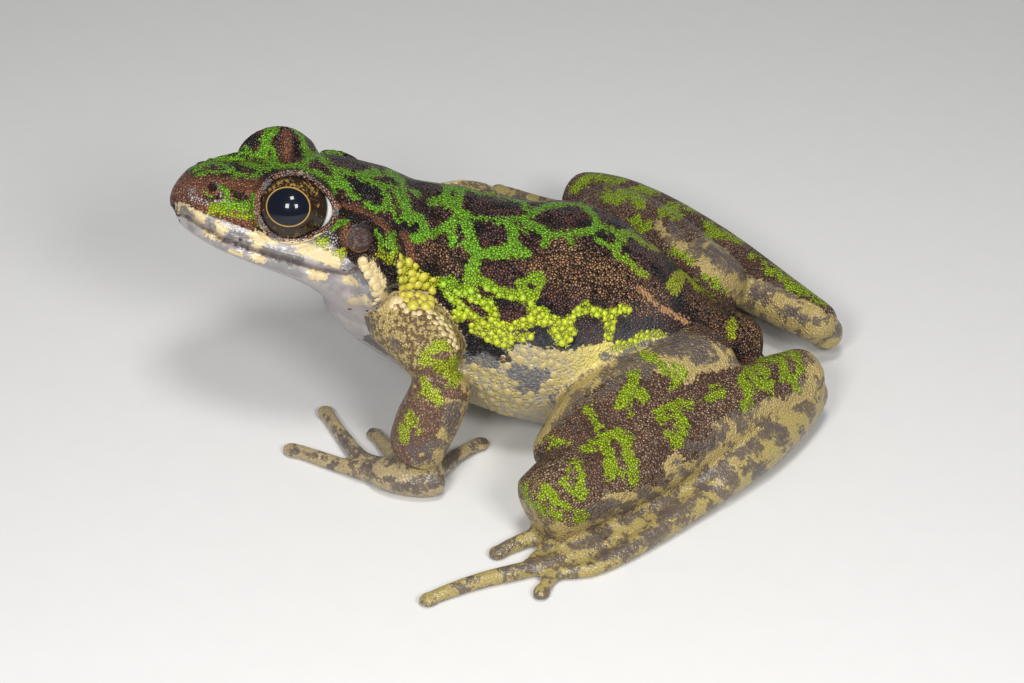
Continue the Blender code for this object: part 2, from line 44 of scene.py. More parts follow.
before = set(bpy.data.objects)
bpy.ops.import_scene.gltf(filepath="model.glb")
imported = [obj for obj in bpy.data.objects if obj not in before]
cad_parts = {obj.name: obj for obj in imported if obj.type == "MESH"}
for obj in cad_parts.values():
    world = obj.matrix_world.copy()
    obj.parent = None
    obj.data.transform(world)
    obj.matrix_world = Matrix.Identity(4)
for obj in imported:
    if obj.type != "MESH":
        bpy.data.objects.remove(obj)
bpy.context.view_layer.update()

MM = 0.001
SEED = 7

# The head's own frame: forwards, sideways and upwards from the middle of the mouth's plane, in millimetres.
HEAD_PIVOT = Vector((-12.0, 0.0, 23.9))
HEAD_YAW = 9.7
HEAD_PITCH = 15.6
HEAD_ROLL = 10.3
EYE_PLACE = Vector((-18.1, 7.4, 5.0))
EYE_RADIUS = 4.2
EYE_RISE = 20.0
EYE_LEAD = 12.0
EAR_PLACE = Vector((-10.0, 11.8, 3.9))
EAR_RADIUS = 1.8

# The photograph's camera, as fitted to the frog: millimetres, in the frame that the solids were drawn in.
PICTURE_WIDTH = 1024.0
PICTURE_HEIGHT = 683.0
LENS = 85.0
SENSOR = 36.0
CAMERA_RISE = 36.0
CAMERA_DISTANCE = 312.0
CAMERA_TARGET = Vector((0.258, -2.77, 10.19))
FOCAL_PIXELS = LENS / SENSOR * PICTURE_WIDTH

LEFT = -1.0
RIGHT = 1.0
SIDES = {"left": LEFT, "right": RIGHT}
MIRROR = np.array([1.0, -1.0, 1.0])
REARWARDS = np.array([1.0, 0.0, 0.0])
MATRIX_SIZE = 4
TURN_SIZE = 3


def head_turn():
    """The head's place in the solids' drawing frame."""
    turn = Matrix.Translation(HEAD_PIVOT)
    for degrees, axis in ((HEAD_YAW, "Z"), (HEAD_PITCH, "Y"), (-HEAD_ROLL, "X")):
        turn = turn @ Matrix.Rotation(math.radians(degrees), MATRIX_SIZE, axis)
    return turn


def sided(place, side):
    """A place of the left or right half of the head."""
    return Vector((place.x, place.y * side, place.z))


HEAD = head_turn()
HEAD_WAYS = np.array(HEAD)[:3, :3]


def centring_shift():
    """How far packing moved the part, read from where its left eye now stands."""
    low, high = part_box("eye_left")
    drawn = HEAD @ sided(EYE_PLACE, LEFT)
    return drawn - (low + high) / (2.0 * MM)


SHIFT = centring_shift()


def packed(place):
    """A place in millimetres of the drawing frame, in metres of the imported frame."""
    return (Vector(place) - SHIFT) * MM


def eye_axis(side):
    """The way that an eye looks, in the head's own frame."""
    rise = math.radians(EYE_RISE)
    lead = math.radians(EYE_LEAD)
    flat = math.cos(rise)
    return Vector((-math.sin(lead) * flat, side * math.cos(lead) * flat, math.sin(rise)))


# Places on the photograph, in its 1024 by 683 pixels. A stroke is a width in millimetres and the points that
# it runs through, and a patch is the outline of an area. Both are laid on the surface that is seen there.
MOUTH_LINE = (
    (1.0, ((186, 216), (190, 219), (221, 239), (253, 251), (284, 259), (317, 269), (347, 274),
           (357, 269))),
)
NOSTRIL = (212, 187)
EAR_FOLD = (
    (1.0, ((326, 208), (345, 210), (360, 216), (375, 221), (385, 232), (392, 245), (397, 262),
           (399, 282))),
)

HEAD_NET = (
    (0.7, ((188, 168), (200, 166), (212, 162), (222, 159), (236, 158), (246, 163), (256, 166), (268, 168),
           (280, 163))),
    (0.5, ((195, 170), (208, 170), (220, 172), (232, 170), (236, 173), (248, 176), (256, 175), (262, 171))),
    (0.6, ((198, 174), (206, 172))),
    (0.6, ((220, 163), (228, 167), (232, 170))),
    (0.5, ((236, 173), (234, 178))),
    (0.7, ((240, 153), (252, 155), (262, 158), (270, 163), (282, 166), (300, 165), (308, 168))),
    (1.4, ((262, 155), (264, 146), (266, 139), (272, 131))),
    (1.0, ((276, 130), (275, 126), (262, 125))),
    (0.8, ((260, 126), (272, 122), (284, 122), (292, 126), (300, 134), (304, 142), (306, 150), (308, 158),
           (306, 166))),
    (0.9, ((272, 148), (275, 156), (274, 162), (282, 166))),
    (0.6, ((247, 148), (250, 152), (258, 154))),
    (0.5, ((306, 150), (316, 153), (328, 151), (342, 154))),
    (0.7, ((316, 153), (322, 158), (328, 163), (334, 168), (344, 171), (356, 174), (362, 177), (372, 176),
           (380, 175))),
    (0.8, ((362, 176), (368, 172), (376, 170), (381, 174))),
    (0.8, ((304, 161), (310, 157), (316, 153))),
    (0.8, ((308, 170), (318, 173), (326, 177), (332, 183), (338, 184), (346, 188), (352, 195), (358, 198))),
    (1.0, ((334, 169), (336, 176), (344, 184), (350, 192))),
    (0.5, ((330, 183), (336, 190), (334, 193))),
    (0.8, ((362, 177), (374, 182), (382, 188), (388, 196), (386, 204), (382, 210), (374, 208), (366, 204))),
    (0.5, ((386, 204), (392, 212), (398, 222))),
    (0.6, ((388, 196), (387, 203), (396, 207), (404, 209))),
    (0.5, ((380, 183), (392, 186), (400, 188), (404, 184))),
    (0.9, ((388, 172), (396, 176), (402, 182), (402, 190), (406, 198), (408, 206), (410, 214))),
    (0.8, ((396, 190), (400, 198), (406, 208), (404, 218), (410, 222))),
    (0.4, ((400, 170), (408, 172), (420, 175))),
    (0.5, ((400, 188), (412, 191), (420, 195))),
    (0.6, ((376, 232), (380, 240), (383, 250), (384, 258), (378, 255))),
    (1.1, ((391, 236), (391, 244), (395, 249), (391, 256), (389, 261))),
    (0.35, ((206, 191), (207, 195), (211, 197))),
    (0.7, ((222, 186), (227, 191), (228, 197), (233, 202), (238, 208))),
    (1.3, ((212, 209), (222, 207), (234, 206), (244, 208), (253, 205))),
    (0.8, ((222, 213), (240, 216), (254, 215))),
    (0.9, ((254, 197), (256, 206), (258, 216), (259, 222))),
    (0.8, ((332, 228), (338, 224), (345, 222))),
    (1.0, ((318, 242), (326, 240), (325, 245))),
    (0.8, ((336, 252), (343, 252), (342, 256))),
)
HEAD_CREAM = (
    (1.5, ((182, 208), (192, 214), (203, 220))),
    (1.3, ((216, 227), (225, 231))),
    (2.2, ((254, 239), (264, 243), (270, 240))),
    (0.7, ((285, 255), (290, 258))),
    (1.1, ((296, 243), (312, 243))),
    (1.7, ((302, 248), (312, 252), (326, 257), (340, 262))),
    (1.2, ((208, 231), (218, 237))),
    (0.7, ((232, 252), (240, 255))),
    (1.1, ((254, 255), (262, 259))),
    (1.3, ((312, 274), (322, 276))),
    (0.9, ((347, 279), (356, 282))),
    (2.2, ((366, 264), (373, 275), (380, 287), (382, 293))),
    (1.4, ((392, 297), (402, 296))),
    (1.5, ((376, 303), (392, 303))),
    (1.4, ((352, 302), (368, 302))),
)
HEAD_SLATE = (
    (1.2, ((184, 210), (190, 216))),
    (1.0, ((208, 222), (213, 228))),
    (1.8, ((232, 236), (246, 243))),
    (1.5, ((266, 250), (282, 256), (298, 260))),
    (1.7, ((306, 236), (320, 238))),
    (1.0, ((344, 264), (352, 266))),
    (1.2, ((372, 298), (378, 304))),
    (1.3, ((354, 270), (364, 280))),
)
HEAD_ASH = (
    (0.9, ((191, 190), (193, 198), (203, 201), (213, 203), (224, 200))),
    (0.6, ((214, 183), (220, 190), (226, 200), (236, 206))),
    (0.8, ((268, 232), (280, 239), (298, 239), (312, 234))),
    (1.2, ((276, 244), (298, 247))),
    (1.0, ((328, 232), (334, 240), (330, 248))),
)
HEAD_BLACK = (
    (0.8, ((231, 193), (240, 196), (249, 198))),
    (0.7, ((234, 201), (247, 202))),
    (0.6, ((206, 197), (214, 199), (222, 196))),
    (1.4, ((342, 213), (356, 218), (368, 223), (379, 232), (384, 246))),
    (1.4, ((349, 252), (356, 258), (366, 258))),
    (1.8, ((388, 268), (396, 276), (392, 288))),
    (1.0, ((400, 262), (400, 280))),
    (1.0, ((262, 223), (268, 230), (275, 235))),
)
GLANDS = (
    (2.3, ((366, 264), (373, 275), (380, 287), (382, 293))),
    (1.3, ((392, 297), (402, 296))),
)
HEAD_LIP = (
    (172, 202), (186, 204), (205, 214), (225, 221), (250, 230), (275, 238), (300, 238), (325, 240),
    (345, 254), (353, 264), (360, 268), (347, 276), (317, 271), (284, 261), (253, 253), (221, 241),
    (190, 221),
)
HEAD_JAW = (
    (180, 216), (190, 219), (221, 239), (253, 251), (284, 259), (317, 269), (347, 274), (358, 266),
    (366, 280), (378, 300), (366, 312), (420, 392), (360, 360), (290, 300), (180, 240),
)
HEAD_SIDE = (
    (165, 176), (186, 172), (206, 176), (240, 178), (262, 176), (262, 205), (258, 226), (250, 232),
    (225, 222), (205, 213), (186, 204), (165, 200),
)
HEAD_RUST = (
    (1.2, ((286, 134), (288, 146), (286, 156))),
    (1.0, ((336, 206), (352, 208), (368, 215), (380, 222), (390, 234), (397, 250))),
    (1.0, ((340, 216), (346, 226), (344, 238), (350, 248), (358, 254))),
    (1.0, ((404, 234), (410, 246), (412, 258))),
)

BACK_NET = (
    (1.1, ((446, 183), (455, 186), (461, 192), (459, 200), (457, 207))),
    (1.1, ((447, 186), (446, 195), (441, 200), (432, 201))),
    (0.9, ((440, 201), (448, 206), (456, 211), (464, 212))),
    (0.9, ((446, 196), (452, 203), (458, 210))),
    (0.5, ((462, 186), (474, 191), (486, 194), (498, 196), (508, 198))),
    (0.5, ((464, 212), (474, 217), (488, 219))),
    (1.3, ((458, 213), (454, 222), (444, 228), (434, 233), (426, 234), (420, 240), (415, 238))),
    (1.1, ((410, 214), (420, 218), (424, 226), (422, 234))),
    (1.0, ((448, 230), (452, 238), (452, 243))),
    (1.3, ((462, 216), (466, 224), (468, 232), (472, 240), (474, 248), (480, 253), (488, 254), (498, 254))),
    (1.2, ((466, 244), (472, 250))),
    (1.3, ((488, 254), (500, 250), (509, 245), (514, 238), (512, 230), (509, 225))),
    (1.6, ((500, 253), (512, 252), (524, 253))),
    (1.2, ((514, 238), (518, 248), (524, 255))),
    (0.6, ((510, 225), (520, 227), (526, 232))),
    (0.9, ((497, 221), (510, 221), (522, 218), (530, 214), (526, 207), (524, 204))),
    (0.5, ((515, 200), (530, 201))),
    (1.0, ((530, 215), (538, 210), (546, 206), (556, 204), (570, 201), (580, 202), (586, 207), (592, 214),
           (598, 222))),
    (1.1, ((524, 222), (536, 226), (543, 230), (547, 237), (544, 245))),
    (0.9, ((548, 236), (560, 234), (572, 233), (584, 232), (594, 229), (600, 224))),
    (0.8, ((598, 224), (608, 229), (618, 233), (624, 240))),
    (0.8, ((626, 232), (634, 234), (640, 240), (650, 246), (658, 249))),
    (0.6, ((598, 240), (606, 244), (612, 248))),
    (1.1, ((619, 240), (616, 249), (618, 257), (626, 260), (634, 266), (640, 272), (646, 276))),
    (1.1, ((670, 286), (676, 277), (684, 272), (680, 283), (674, 292))),
    (1.0, ((684, 272), (692, 281), (700, 288), (710, 291), (716, 298))),
    (1.2, ((731, 323), (733, 329), (731, 336))),
    (0.7, ((568, 240), (572, 243))),
    (1.4, ((404, 264), (410, 271), (416, 276))),
    (1.2, ((422, 278), (431, 283), (441, 283), (449, 280), (456, 287), (464, 290))),
    (1.4, ((477, 256), (474, 264), (472, 272), (477, 278), (486, 283), (496, 289), (506, 293), (516, 295),
           (524, 297))),
    (1.2, ((470, 276), (468, 284), (472, 291), (478, 298))),
    (1.1, ((446, 292), (454, 298), (460, 304))),
    (1.2, ((456, 288), (468, 295), (480, 301), (490, 306))),
    (1.3, ((489, 303), (492, 312), (496, 322))),
    (1.2, ((454, 314), (462, 311), (471, 314), (478, 320), (486, 326))),
    (1.4, ((456, 318), (462, 316))),
    (1.3, ((486, 326), (500, 326), (512, 326), (522, 324), (534, 320), (546, 320), (552, 322))),
    (1.2, ((520, 284), (524, 290), (530, 297), (530, 304), (533, 311), (530, 318))),
    (1.0, ((524, 283), (531, 278), (540, 275), (542, 279), (540, 287), (536, 294), (531, 299))),
    (1.5, ((534, 311), (544, 315), (552, 321), (560, 324), (568, 324), (570, 332), (565, 340), (558, 337),
           (556, 330))),
    (1.0, ((568, 319), (578, 312), (588, 310), (598, 312))),
    (0.9, ((586, 303), (589, 309))),
    (1.1, ((604, 316), (612, 312), (622, 308), (628, 311))),
    (1.3, ((612, 312), (610, 324), (608, 336))),
    (1.7, ((476, 328), (486, 333), (496, 338), (506, 342))),
    (0.9, ((498, 333), (508, 336), (520, 339), (531, 336))),
    (1.1, ((616, 346), (630, 344), (641, 337), (652, 333), (662, 336), (676, 341), (690, 346))),
)
BACK_PALE = (
    (402, 300), (425, 304), (436, 318), (448, 340), (462, 352), (478, 356), (500, 358), (512, 350),
    (524, 342), (536, 349), (552, 348), (572, 350), (590, 344), (608, 340), (628, 346), (641, 337),
    (652, 331), (664, 336), (690, 344), (706, 350), (712, 362), (700, 400), (690, 460), (560, 520),
    (340, 440), (402, 350),
)
BACK_GRAY = (
    (2.2, ((514, 372), (530, 377), (544, 376))),
    (1.8, ((522, 388), (536, 386))),
    (2.2, ((556, 400), (574, 391), (592, 381))),
    (1.2, ((604, 356), (612, 360))),
    (2.4, ((630, 356), (646, 348))),
    (2.2, ((672, 352), (690, 358))),
    (1.8, ((454, 348), (474, 358), (494, 364))),
    (2.2, ((356, 318), (370, 330))),
)
BACK_BLACK = (
    (1.5, ((434, 288), (444, 298), (454, 310))),
    (1.6, ((442, 314), (450, 328), (457, 344))),
    (1.6, ((462, 322), (468, 336), (474, 350))),
    (1.4, ((480, 342), (494, 350), (506, 360))),
    (1.2, ((560, 346), (572, 340))),
)
SHOULDER_FIELD = ((399, 256), (412, 262), (434, 276), (438, 288), (432, 306), (412, 308), (402, 298))
SHOULDER_GOLD = (
    (1.7, ((404, 264), (411, 273), (421, 281), (428, 286))),
    (1.8, ((405, 278), (410, 288), (414, 298), (424, 302))),
    (1.5, ((416, 284), (424, 292), (428, 300))),
)
BACK_TAN = (
    (3.4, ((560, 250), (580, 262), (606, 272), (632, 286), (650, 300))),
    (2.0, ((534, 268), (556, 272), (580, 284))),
    (1.2, ((588, 290), (606, 290))),
    (0.9, ((618, 290), (622, 302))),
    (0.9, ((428, 246), (440, 254), (450, 262), (456, 272))),
    (0.9, ((405, 238), (410, 250), (412, 260))),
    (1.0, ((454, 243), (462, 248))),
    (2.4, ((738, 298), (748, 318), (754, 338))),
    (1.0, ((696, 300), (712, 316), (726, 336))),
)
BACK_LINE = (
    (0.7, ((640, 288), (654, 303), (668, 312), (684, 320), (694, 332), (704, 342), (714, 350))),
)

ARM_NET = (
    (1.3, ((436, 346), (446, 347))),
    (1.5, ((424, 360), (430, 352), (438, 348))),
    (1.0, ((420, 364), (430, 362))),
    (1.8, ((438, 366), (448, 366), (458, 364))),
    (1.8, ((448, 372), (458, 376), (466, 370))),
    (1.3, ((452, 382), (458, 380))),
    (1.0, ((436, 372), (442, 374))),
    (1.3, ((424, 382), (425, 390), (420, 394))),
    (1.3, ((428, 388), (434, 395), (440, 401))),
    (1.4, ((409, 416), (408, 424), (402, 430), (404, 438))),
    (1.0, ((414, 424), (420, 430))),
)
ARM_BROWN = (
    (420, 364), (440, 364), (458, 384), (466, 396), (450, 398), (442, 406), (444, 422), (438, 434),
    (427, 440), (420, 454), (412, 468), (398, 468), (384, 462), (377, 450), (382, 436), (391, 420),
    (401, 400), (410, 388),
)
ARM_ISLAND = ((1.3, ((438, 354), (446, 357))),)
ARM_GRAY = (
    (1.4, ((428, 449), (438, 445), (446, 445))),
    (1.2, ((424, 446), (430, 456), (428, 462))),
    (1.3, ((412, 448), (416, 458), (412, 465))),
    (1.5, ((448, 418), (456, 406))),
    (1.2, ((446, 428), (452, 432))),
    (0.8, ((462, 402), (458, 416))),
    (1.6, ((364, 318), (372, 326))),
    (1.2, ((392, 338), (398, 346))),
    (1.2, ((384, 479), (394, 481))),
    (1.3, ((396, 488), (412, 484), (420, 478))),
    (1.6, ((432, 484), (444, 478))),
    (1.6, ((450, 462), (456, 452))),
    (1.3, ((366, 466), (370, 475))),
    (0.9, ((352, 472), (356, 478))),
    (0.8, ((290, 452), (294, 452))),
    (0.5, ((302, 452), (310, 455))),
    (0.9, ((316, 456), (324, 458))),
    (0.9, ((332, 464), (338, 464))),
    (0.6, ((324, 416), (328, 420))),
    (0.9, ((334, 430), (340, 436))),
    (0.9, ((344, 442), (350, 448))),
    (1.0, ((354, 454), (362, 450), (370, 454))),
    (0.9, ((366, 432), (372, 431))),
    (1.0, ((472, 444), (482, 442))),
)

THIGH_NET = (
    (1.1, ((588, 409), (592, 418), (599, 427))),
    (1.1, ((550, 450), (553, 442), (562, 441), (571, 446), (575, 453), (569, 460), (558, 463), (552, 458),
           (551, 466))),
    (0.9, ((556, 448), (564, 452), (560, 458))),
    (0.8, ((546, 440), (556, 436))),
    (1.7, ((634, 378), (631, 388), (625, 396))),
    (1.5, ((636, 386), (642, 396))),
    (1.2, ((622, 400), (618, 408), (626, 406))),
    (0.8, ((628, 412), (632, 416))),
    (1.0, ((644, 354), (655, 359), (664, 366), (676, 366), (684, 372))),
    (1.3, ((668, 372), (678, 378), (674, 384))),
    (1.2, ((528, 478), (536, 484), (545, 489), (552, 495))),
)
THIGH_PALE = (
    (490, 500), (495, 440), (530, 400), (560, 370), (600, 345), (646, 330), (668, 346), (654, 358),
    (640, 366), (626, 374), (610, 379), (592, 391), (574, 407), (556, 427), (541, 443), (528, 462),
    (522, 484),
)
GROIN_PALE = (
    (622, 352), (640, 344), (660, 336), (690, 332), (716, 342), (744, 352), (768, 356), (766, 366),
    (730, 368), (704, 374), (690, 384), (674, 380), (654, 372), (632, 372), (622, 352),
)
GROIN_GRAY = (
    (3.0, ((626, 364), (642, 368))),
    (2.6, ((658, 344), (672, 348), (690, 346))),
    (2.0, ((664, 336), (684, 338), (704, 346))),
    (1.4, ((700, 360), (716, 358))),
    (1.2, ((732, 360), (750, 362))),
)
THIGH_GRAY = (
    (0.9, ((554, 426), (560, 419))),
    (1.0, ((565, 414), (570, 408))),
    (1.1, ((576, 403), (588, 399))),
    (1.0, ((606, 381), (614, 379))),
    (0.9, ((622, 377), (629, 375))),
    (1.2, ((602, 394), (616, 387))),
    (2.0, ((630, 364), (646, 359))),
)

SHANK_NET = (
    (1.1, ((611, 430), (604, 437), (594, 444), (586, 448))),
    (1.7, ((602, 440), (607, 452), (612, 463), (610, 474))),
    (1.5, ((612, 432), (622, 438), (630, 442))),
    (1.4, ((626, 444), (628, 456), (634, 468), (632, 482))),
    (1.2, ((612, 464), (620, 476), (628, 474))),
    (0.9, ((576, 463), (581, 470), (582, 480), (576, 488), (567, 489), (563, 482), (569, 469))),
    (1.0, ((568, 489), (578, 493), (586, 492), (580, 499))),
    (1.2, ((545, 487), (552, 493), (555, 502), (566, 505))),
    (0.9, ((523, 486), (526, 496), (532, 504), (538, 509))),
    (1.0, ((540, 496), (546, 506), (540, 514))),
    (0.9, ((575, 511), (584, 516), (578, 520))),
    (0.9, ((552, 512), (560, 516))),
    (1.1, ((654, 398), (664, 394), (674, 390))),
    (1.4, ((662, 402), (658, 411), (662, 419))),
    (1.2, ((666, 404), (678, 401), (690, 404))),
    (1.3, ((674, 406), (680, 418), (682, 430), (677, 443))),
    (1.0, ((668, 434), (670, 434))),
    (1.2, ((704, 379), (714, 380))),
    (1.3, ((708, 399), (715, 395), (723, 392))),
    (0.7, ((712, 384), (714, 390))),
    (1.2, ((730, 364), (740, 371), (750, 372), (758, 367))),
    (1.4, ((742, 380), (748, 390), (747, 402), (743, 408))),
    (1.5, ((752, 378), (762, 384), (770, 388))),
    (1.0, ((759, 358), (768, 356), (776, 361))),
    (1.2, ((763, 369), (768, 378), (770, 388))),
    (1.1, ((780, 353), (790, 351), (796, 360), (800, 368), (795, 380), (796, 388))),
    (1.6, ((781, 362), (786, 372))),
    (1.2, ((783, 378), (790, 378))),
)
SHANK_PALE = (
    (500, 500), (520, 560), (600, 580), (700, 530), (790, 450), (850, 400), (850, 330), (816, 340),
    (806, 352), (806, 372), (798, 386), (786, 398), (764, 400), (745, 410), (727, 416), (712, 424),
    (716, 440), (700, 458), (686, 462), (677, 448), (668, 456), (662, 470), (668, 482), (648, 486),
    (626, 490), (610, 490), (600, 496), (608, 510), (590, 520), (572, 526), (556, 522), (540, 514),
    (528, 498),
)
SHANK_TAN = (
    (5.2, ((520, 498), (524, 516), (540, 532), (566, 536))),
    (3.4, ((800, 348), (816, 356), (822, 374), (816, 392))),
)
SHANK_GRAY = (
    (1.5, ((640, 494), (656, 497))),
    (1.3, ((678, 464), (685, 474))),
    (1.2, ((718, 432), (724, 438))),
    (2.0, ((736, 416), (742, 426))),
    (1.6, ((692, 446), (712, 446))),
    (2.2, ((594, 512), (612, 508))),
    (1.1, ((622, 508), (634, 503))),
    (1.0, ((668, 488), (660, 480))),
)
FOOT_GRAY = (
    (1.8, ((740, 436), (754, 440))),
    (2.2, ((766, 418), (778, 432))),
    (2.4, ((704, 474), (722, 466), (730, 480))),
    (1.8, ((740, 452), (752, 452))),
    (1.5, ((716, 490), (728, 494))),
    (1.1, ((696, 484), (704, 488))),
    (1.8, ((752, 466), (762, 472))),
    (1.4, ((776, 438), (786, 442))),
    (2.0, ((786, 400), (800, 404))),
    (1.3, ((812, 388), (817, 396))),
    (2.0, ((664, 516), (676, 504))),
    (1.7, ((682, 512), (690, 505))),
    (2.0, ((652, 542), (668, 524))),
    (1.8, ((620, 552), (634, 546))),
    (0.9, ((466, 581), (472, 580))),
    (0.9, ((507, 568), (513, 566))),
    (1.2, ((522, 568), (530, 566))),
    (0.7, ((546, 561), (550, 559))),
    (0.7, ((557, 558), (560, 557))),
    (1.9, ((575, 545), (592, 538), (606, 532))),
    (1.6, ((600, 558), (614, 552))),
    (1.3, ((636, 544), (648, 537))),
    (1.6, ((636, 512), (652, 506), (668, 496))),
)
FAR_SHANK_NET = (
    (1.3, ((574, 190), (581, 182), (592, 176), (604, 178), (614, 182), (622, 178))),
    (1.9, ((606, 196), (616, 200), (622, 194))),
    (1.4, ((631, 192), (640, 188), (650, 190), (657, 190))),
    (2.0, ((634, 196), (640, 203))),
    (1.7, ((662, 212), (672, 208), (678, 216))),
    (0.9, ((680, 204), (690, 208), (700, 212))),
    (1.1, ((706, 224), (716, 230), (726, 234), (738, 240))),
    (1.2, ((708, 233), (718, 238))),
    (0.9, ((752, 256), (764, 262))),
    (1.4, ((770, 270), (780, 275), (790, 284), (800, 290))),
    (0.9, ((805, 288), (815, 298), (824, 304))),
    (1.6, ((636, 220), (642, 228), (648, 226))),
    (1.0, ((672, 250), (680, 254), (690, 261))),
    (1.0, ((706, 276), (716, 284), (724, 291))),
)
FAR_SHANK_PALE = (
    (650, 221), (664, 217), (668, 232), (690, 244), (700, 236), (712, 239), (722, 246), (735, 260),
    (755, 278), (772, 284), (790, 292), (804, 300), (822, 308), (838, 318), (852, 340), (840, 352),
    (800, 348), (770, 332), (745, 312), (718, 288), (700, 272), (680, 256), (664, 240),
)
FAR_SHANK_GRAY = (
    (1.6, ((672, 226), (680, 236))),
    (1.1, ((696, 245), (702, 243))),
    (2.0, ((712, 252), (720, 260), (728, 266))),
    (1.4, ((737, 268), (742, 276))),
    (1.6, ((756, 288), (762, 300))),
    (1.8, ((770, 288), (788, 289))),
    (1.3, ((782, 312), (790, 312))),
    (1.4, ((798, 316), (806, 322))),
    (1.6, ((826, 342), (838, 341))),
)


def camera_back():
    """The way from the frog to the camera."""
    rise = math.radians(CAMERA_RISE)
    return np.array([0.0, -math.cos(rise), math.sin(rise)])


CAMERA_BACK = camera_back()
CAMERA_RIGHT = np.array([1.0, 0.0, 0.0])
CAMERA_UP = np.cross(CAMERA_BACK, CAMERA_RIGHT)
CAMERA_PLACE = np.array(CAMERA_TARGET) + CAMERA_BACK * CAMERA_DISTANCE
FAR_OUTSIDE = -9.0
TINY = 1e-9
NOISE_WAVES = 24
NOISE_SPREAD = (0.6, 1.6)


class Canvas:
    """Points of the skin as the camera sees them, measured in millimetres."""

    def __init__(self, places):
        away = places - CAMERA_PLACE
        depth = -(away @ CAMERA_BACK)
        self.x = PICTURE_WIDTH / 2 + FOCAL_PIXELS * (away @ CAMERA_RIGHT) / depth
        self.y = PICTURE_HEIGHT / 2 - FOCAL_PIXELS * (away @ CAMERA_UP) / depth
        self.scale = depth / FOCAL_PIXELS

    def to_segment(self, start, end):
        """Pixels from each point to a straight stretch."""
        run = np.subtract(end, start).astype(float)
        length = max(float(run @ run), TINY)
        along = ((self.x - start[0]) * run[0] + (self.y - start[1]) * run[1]) / length
        along = np.clip(along, 0.0, 1.0)
        return np.hypot(self.x - start[0] - along * run[0], self.y - start[1] - along * run[1])

    def to_pixel(self, pixel):
        """Millimetres from each point to a pixel."""
        return np.hypot(self.x - pixel[0], self.y - pixel[1]) * self.scale

    def to_line(self, strokes):
        """Millimetres from each point to the middle of a single stroke."""
        return strokes[0][0] / 2 - self.inside_strokes(strokes)

    def inside_strokes(self, strokes):
        """How deep inside the nearest stroke each point is, and below zero outside."""
        best = np.full(len(self.x), FAR_OUTSIDE)
        for width, points in strokes:
            for start, end in zip(points, points[1:]):
                best = np.maximum(best, width / 2 - self.to_segment(start, end) * self.scale)
        return best

    def inside_patch(self, outline):
        """How deep inside an outline each point is, and below zero outside."""
        near = np.full(len(self.x), np.inf)
        odd = np.zeros(len(self.x), bool)
        for start, end in zip(outline, outline[1:] + outline[:1]):
            near = np.minimum(near, self.to_segment(start, end))
            crosses = (start[1] > self.y) != (end[1] > self.y)
            slope = (end[0] - start[0]) / ((end[1] - start[1]) or TINY)
            odd ^= crosses & (self.x < start[0] + slope * (self.y - start[1]))
        return np.where(odd, near, -near) * self.scale


def ramp(values, low, high):
    """A smooth step from nought at low to one at high."""
    t = np.clip((values - low) / (high - low), 0.0, 1.0)
    return t * t * (3.0 - 2.0 * t)


def smooth_noise(places, size, seed):
    """Seeded soft noise between about minus one and one, with lumps of that size."""
    rng = np.random.default_rng(seed)
    total = np.zeros(len(places))
    for _ in range(NOISE_WAVES):
        way = rng.normal(size=3)
        way *= math.tau / (size * np.linalg.norm(way)) * rng.uniform(*NOISE_SPREAD)
        total += np.sin(places @ way + rng.uniform(0.0, math.tau))
    return total / math.sqrt(NOISE_WAVES / 2)


NOT_FLESH = ("eye_", "eardrum_")
FLESH = [name for name in sorted(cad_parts) if not name.startswith(NOT_FLESH)]


class FrogSkinSettings(bpy.types.PropertyGroup):
    """Sizes and colours of the skin."""

    grain: bpy.props.FloatProperty(
        name="Mesh grain", description="Edge length of the skin's mesh", default=0.00049, subtype="DISTANCE")
    close: bpy.props.FloatProperty(
        name="Closing", description="How far each solid grows to meet its neighbour", default=0.0002,
        subtype="DISTANCE")
    granule: bpy.props.FloatProperty(
        name="Granule", description="Size of one granule of the skin", default=0.00037, subtype="DISTANCE")
    wetness: bpy.props.FloatProperty(
        name="Wetness", description="Strength of the wet coat", default=0.5, subtype="FACTOR")
    dark: bpy.props.FloatVectorProperty(
        name="Dark", description="Colour between the granules of the back", default=(0.010, 0.007, 0.007),
        subtype="COLOR")
    brown: bpy.props.FloatVectorProperty(
        name="Brown", description="Colour of the back's granules", default=(0.20, 0.072, 0.038),
        subtype="COLOR")
    tan: bpy.props.FloatVectorProperty(
        name="Tan", description="Colour of the lighter granules", default=(0.43, 0.23, 0.10), subtype="COLOR")
    green: bpy.props.FloatVectorProperty(
        name="Green", description="Colour of the net on the back", default=(0.20, 0.54, 0.020),
        subtype="COLOR")
    lime: bpy.props.FloatVectorProperty(
        name="Lime", description="Colour of the net on the flanks and legs", default=(0.52, 0.60, 0.010),
        subtype="COLOR")
    cream: bpy.props.FloatVectorProperty(
        name="Cream", description="Colour of the pale underside", default=(0.66, 0.53, 0.27), subtype="COLOR")
    gray: bpy.props.FloatVectorProperty(
        name="Gray", description="Colour of the blotches on the pale skin", default=(0.115, 0.112, 0.122),
        subtype="COLOR")
    throat: bpy.props.FloatVectorProperty(
        name="Throat", description="Colour of the throat", default=(0.35, 0.305, 0.30), subtype="COLOR")


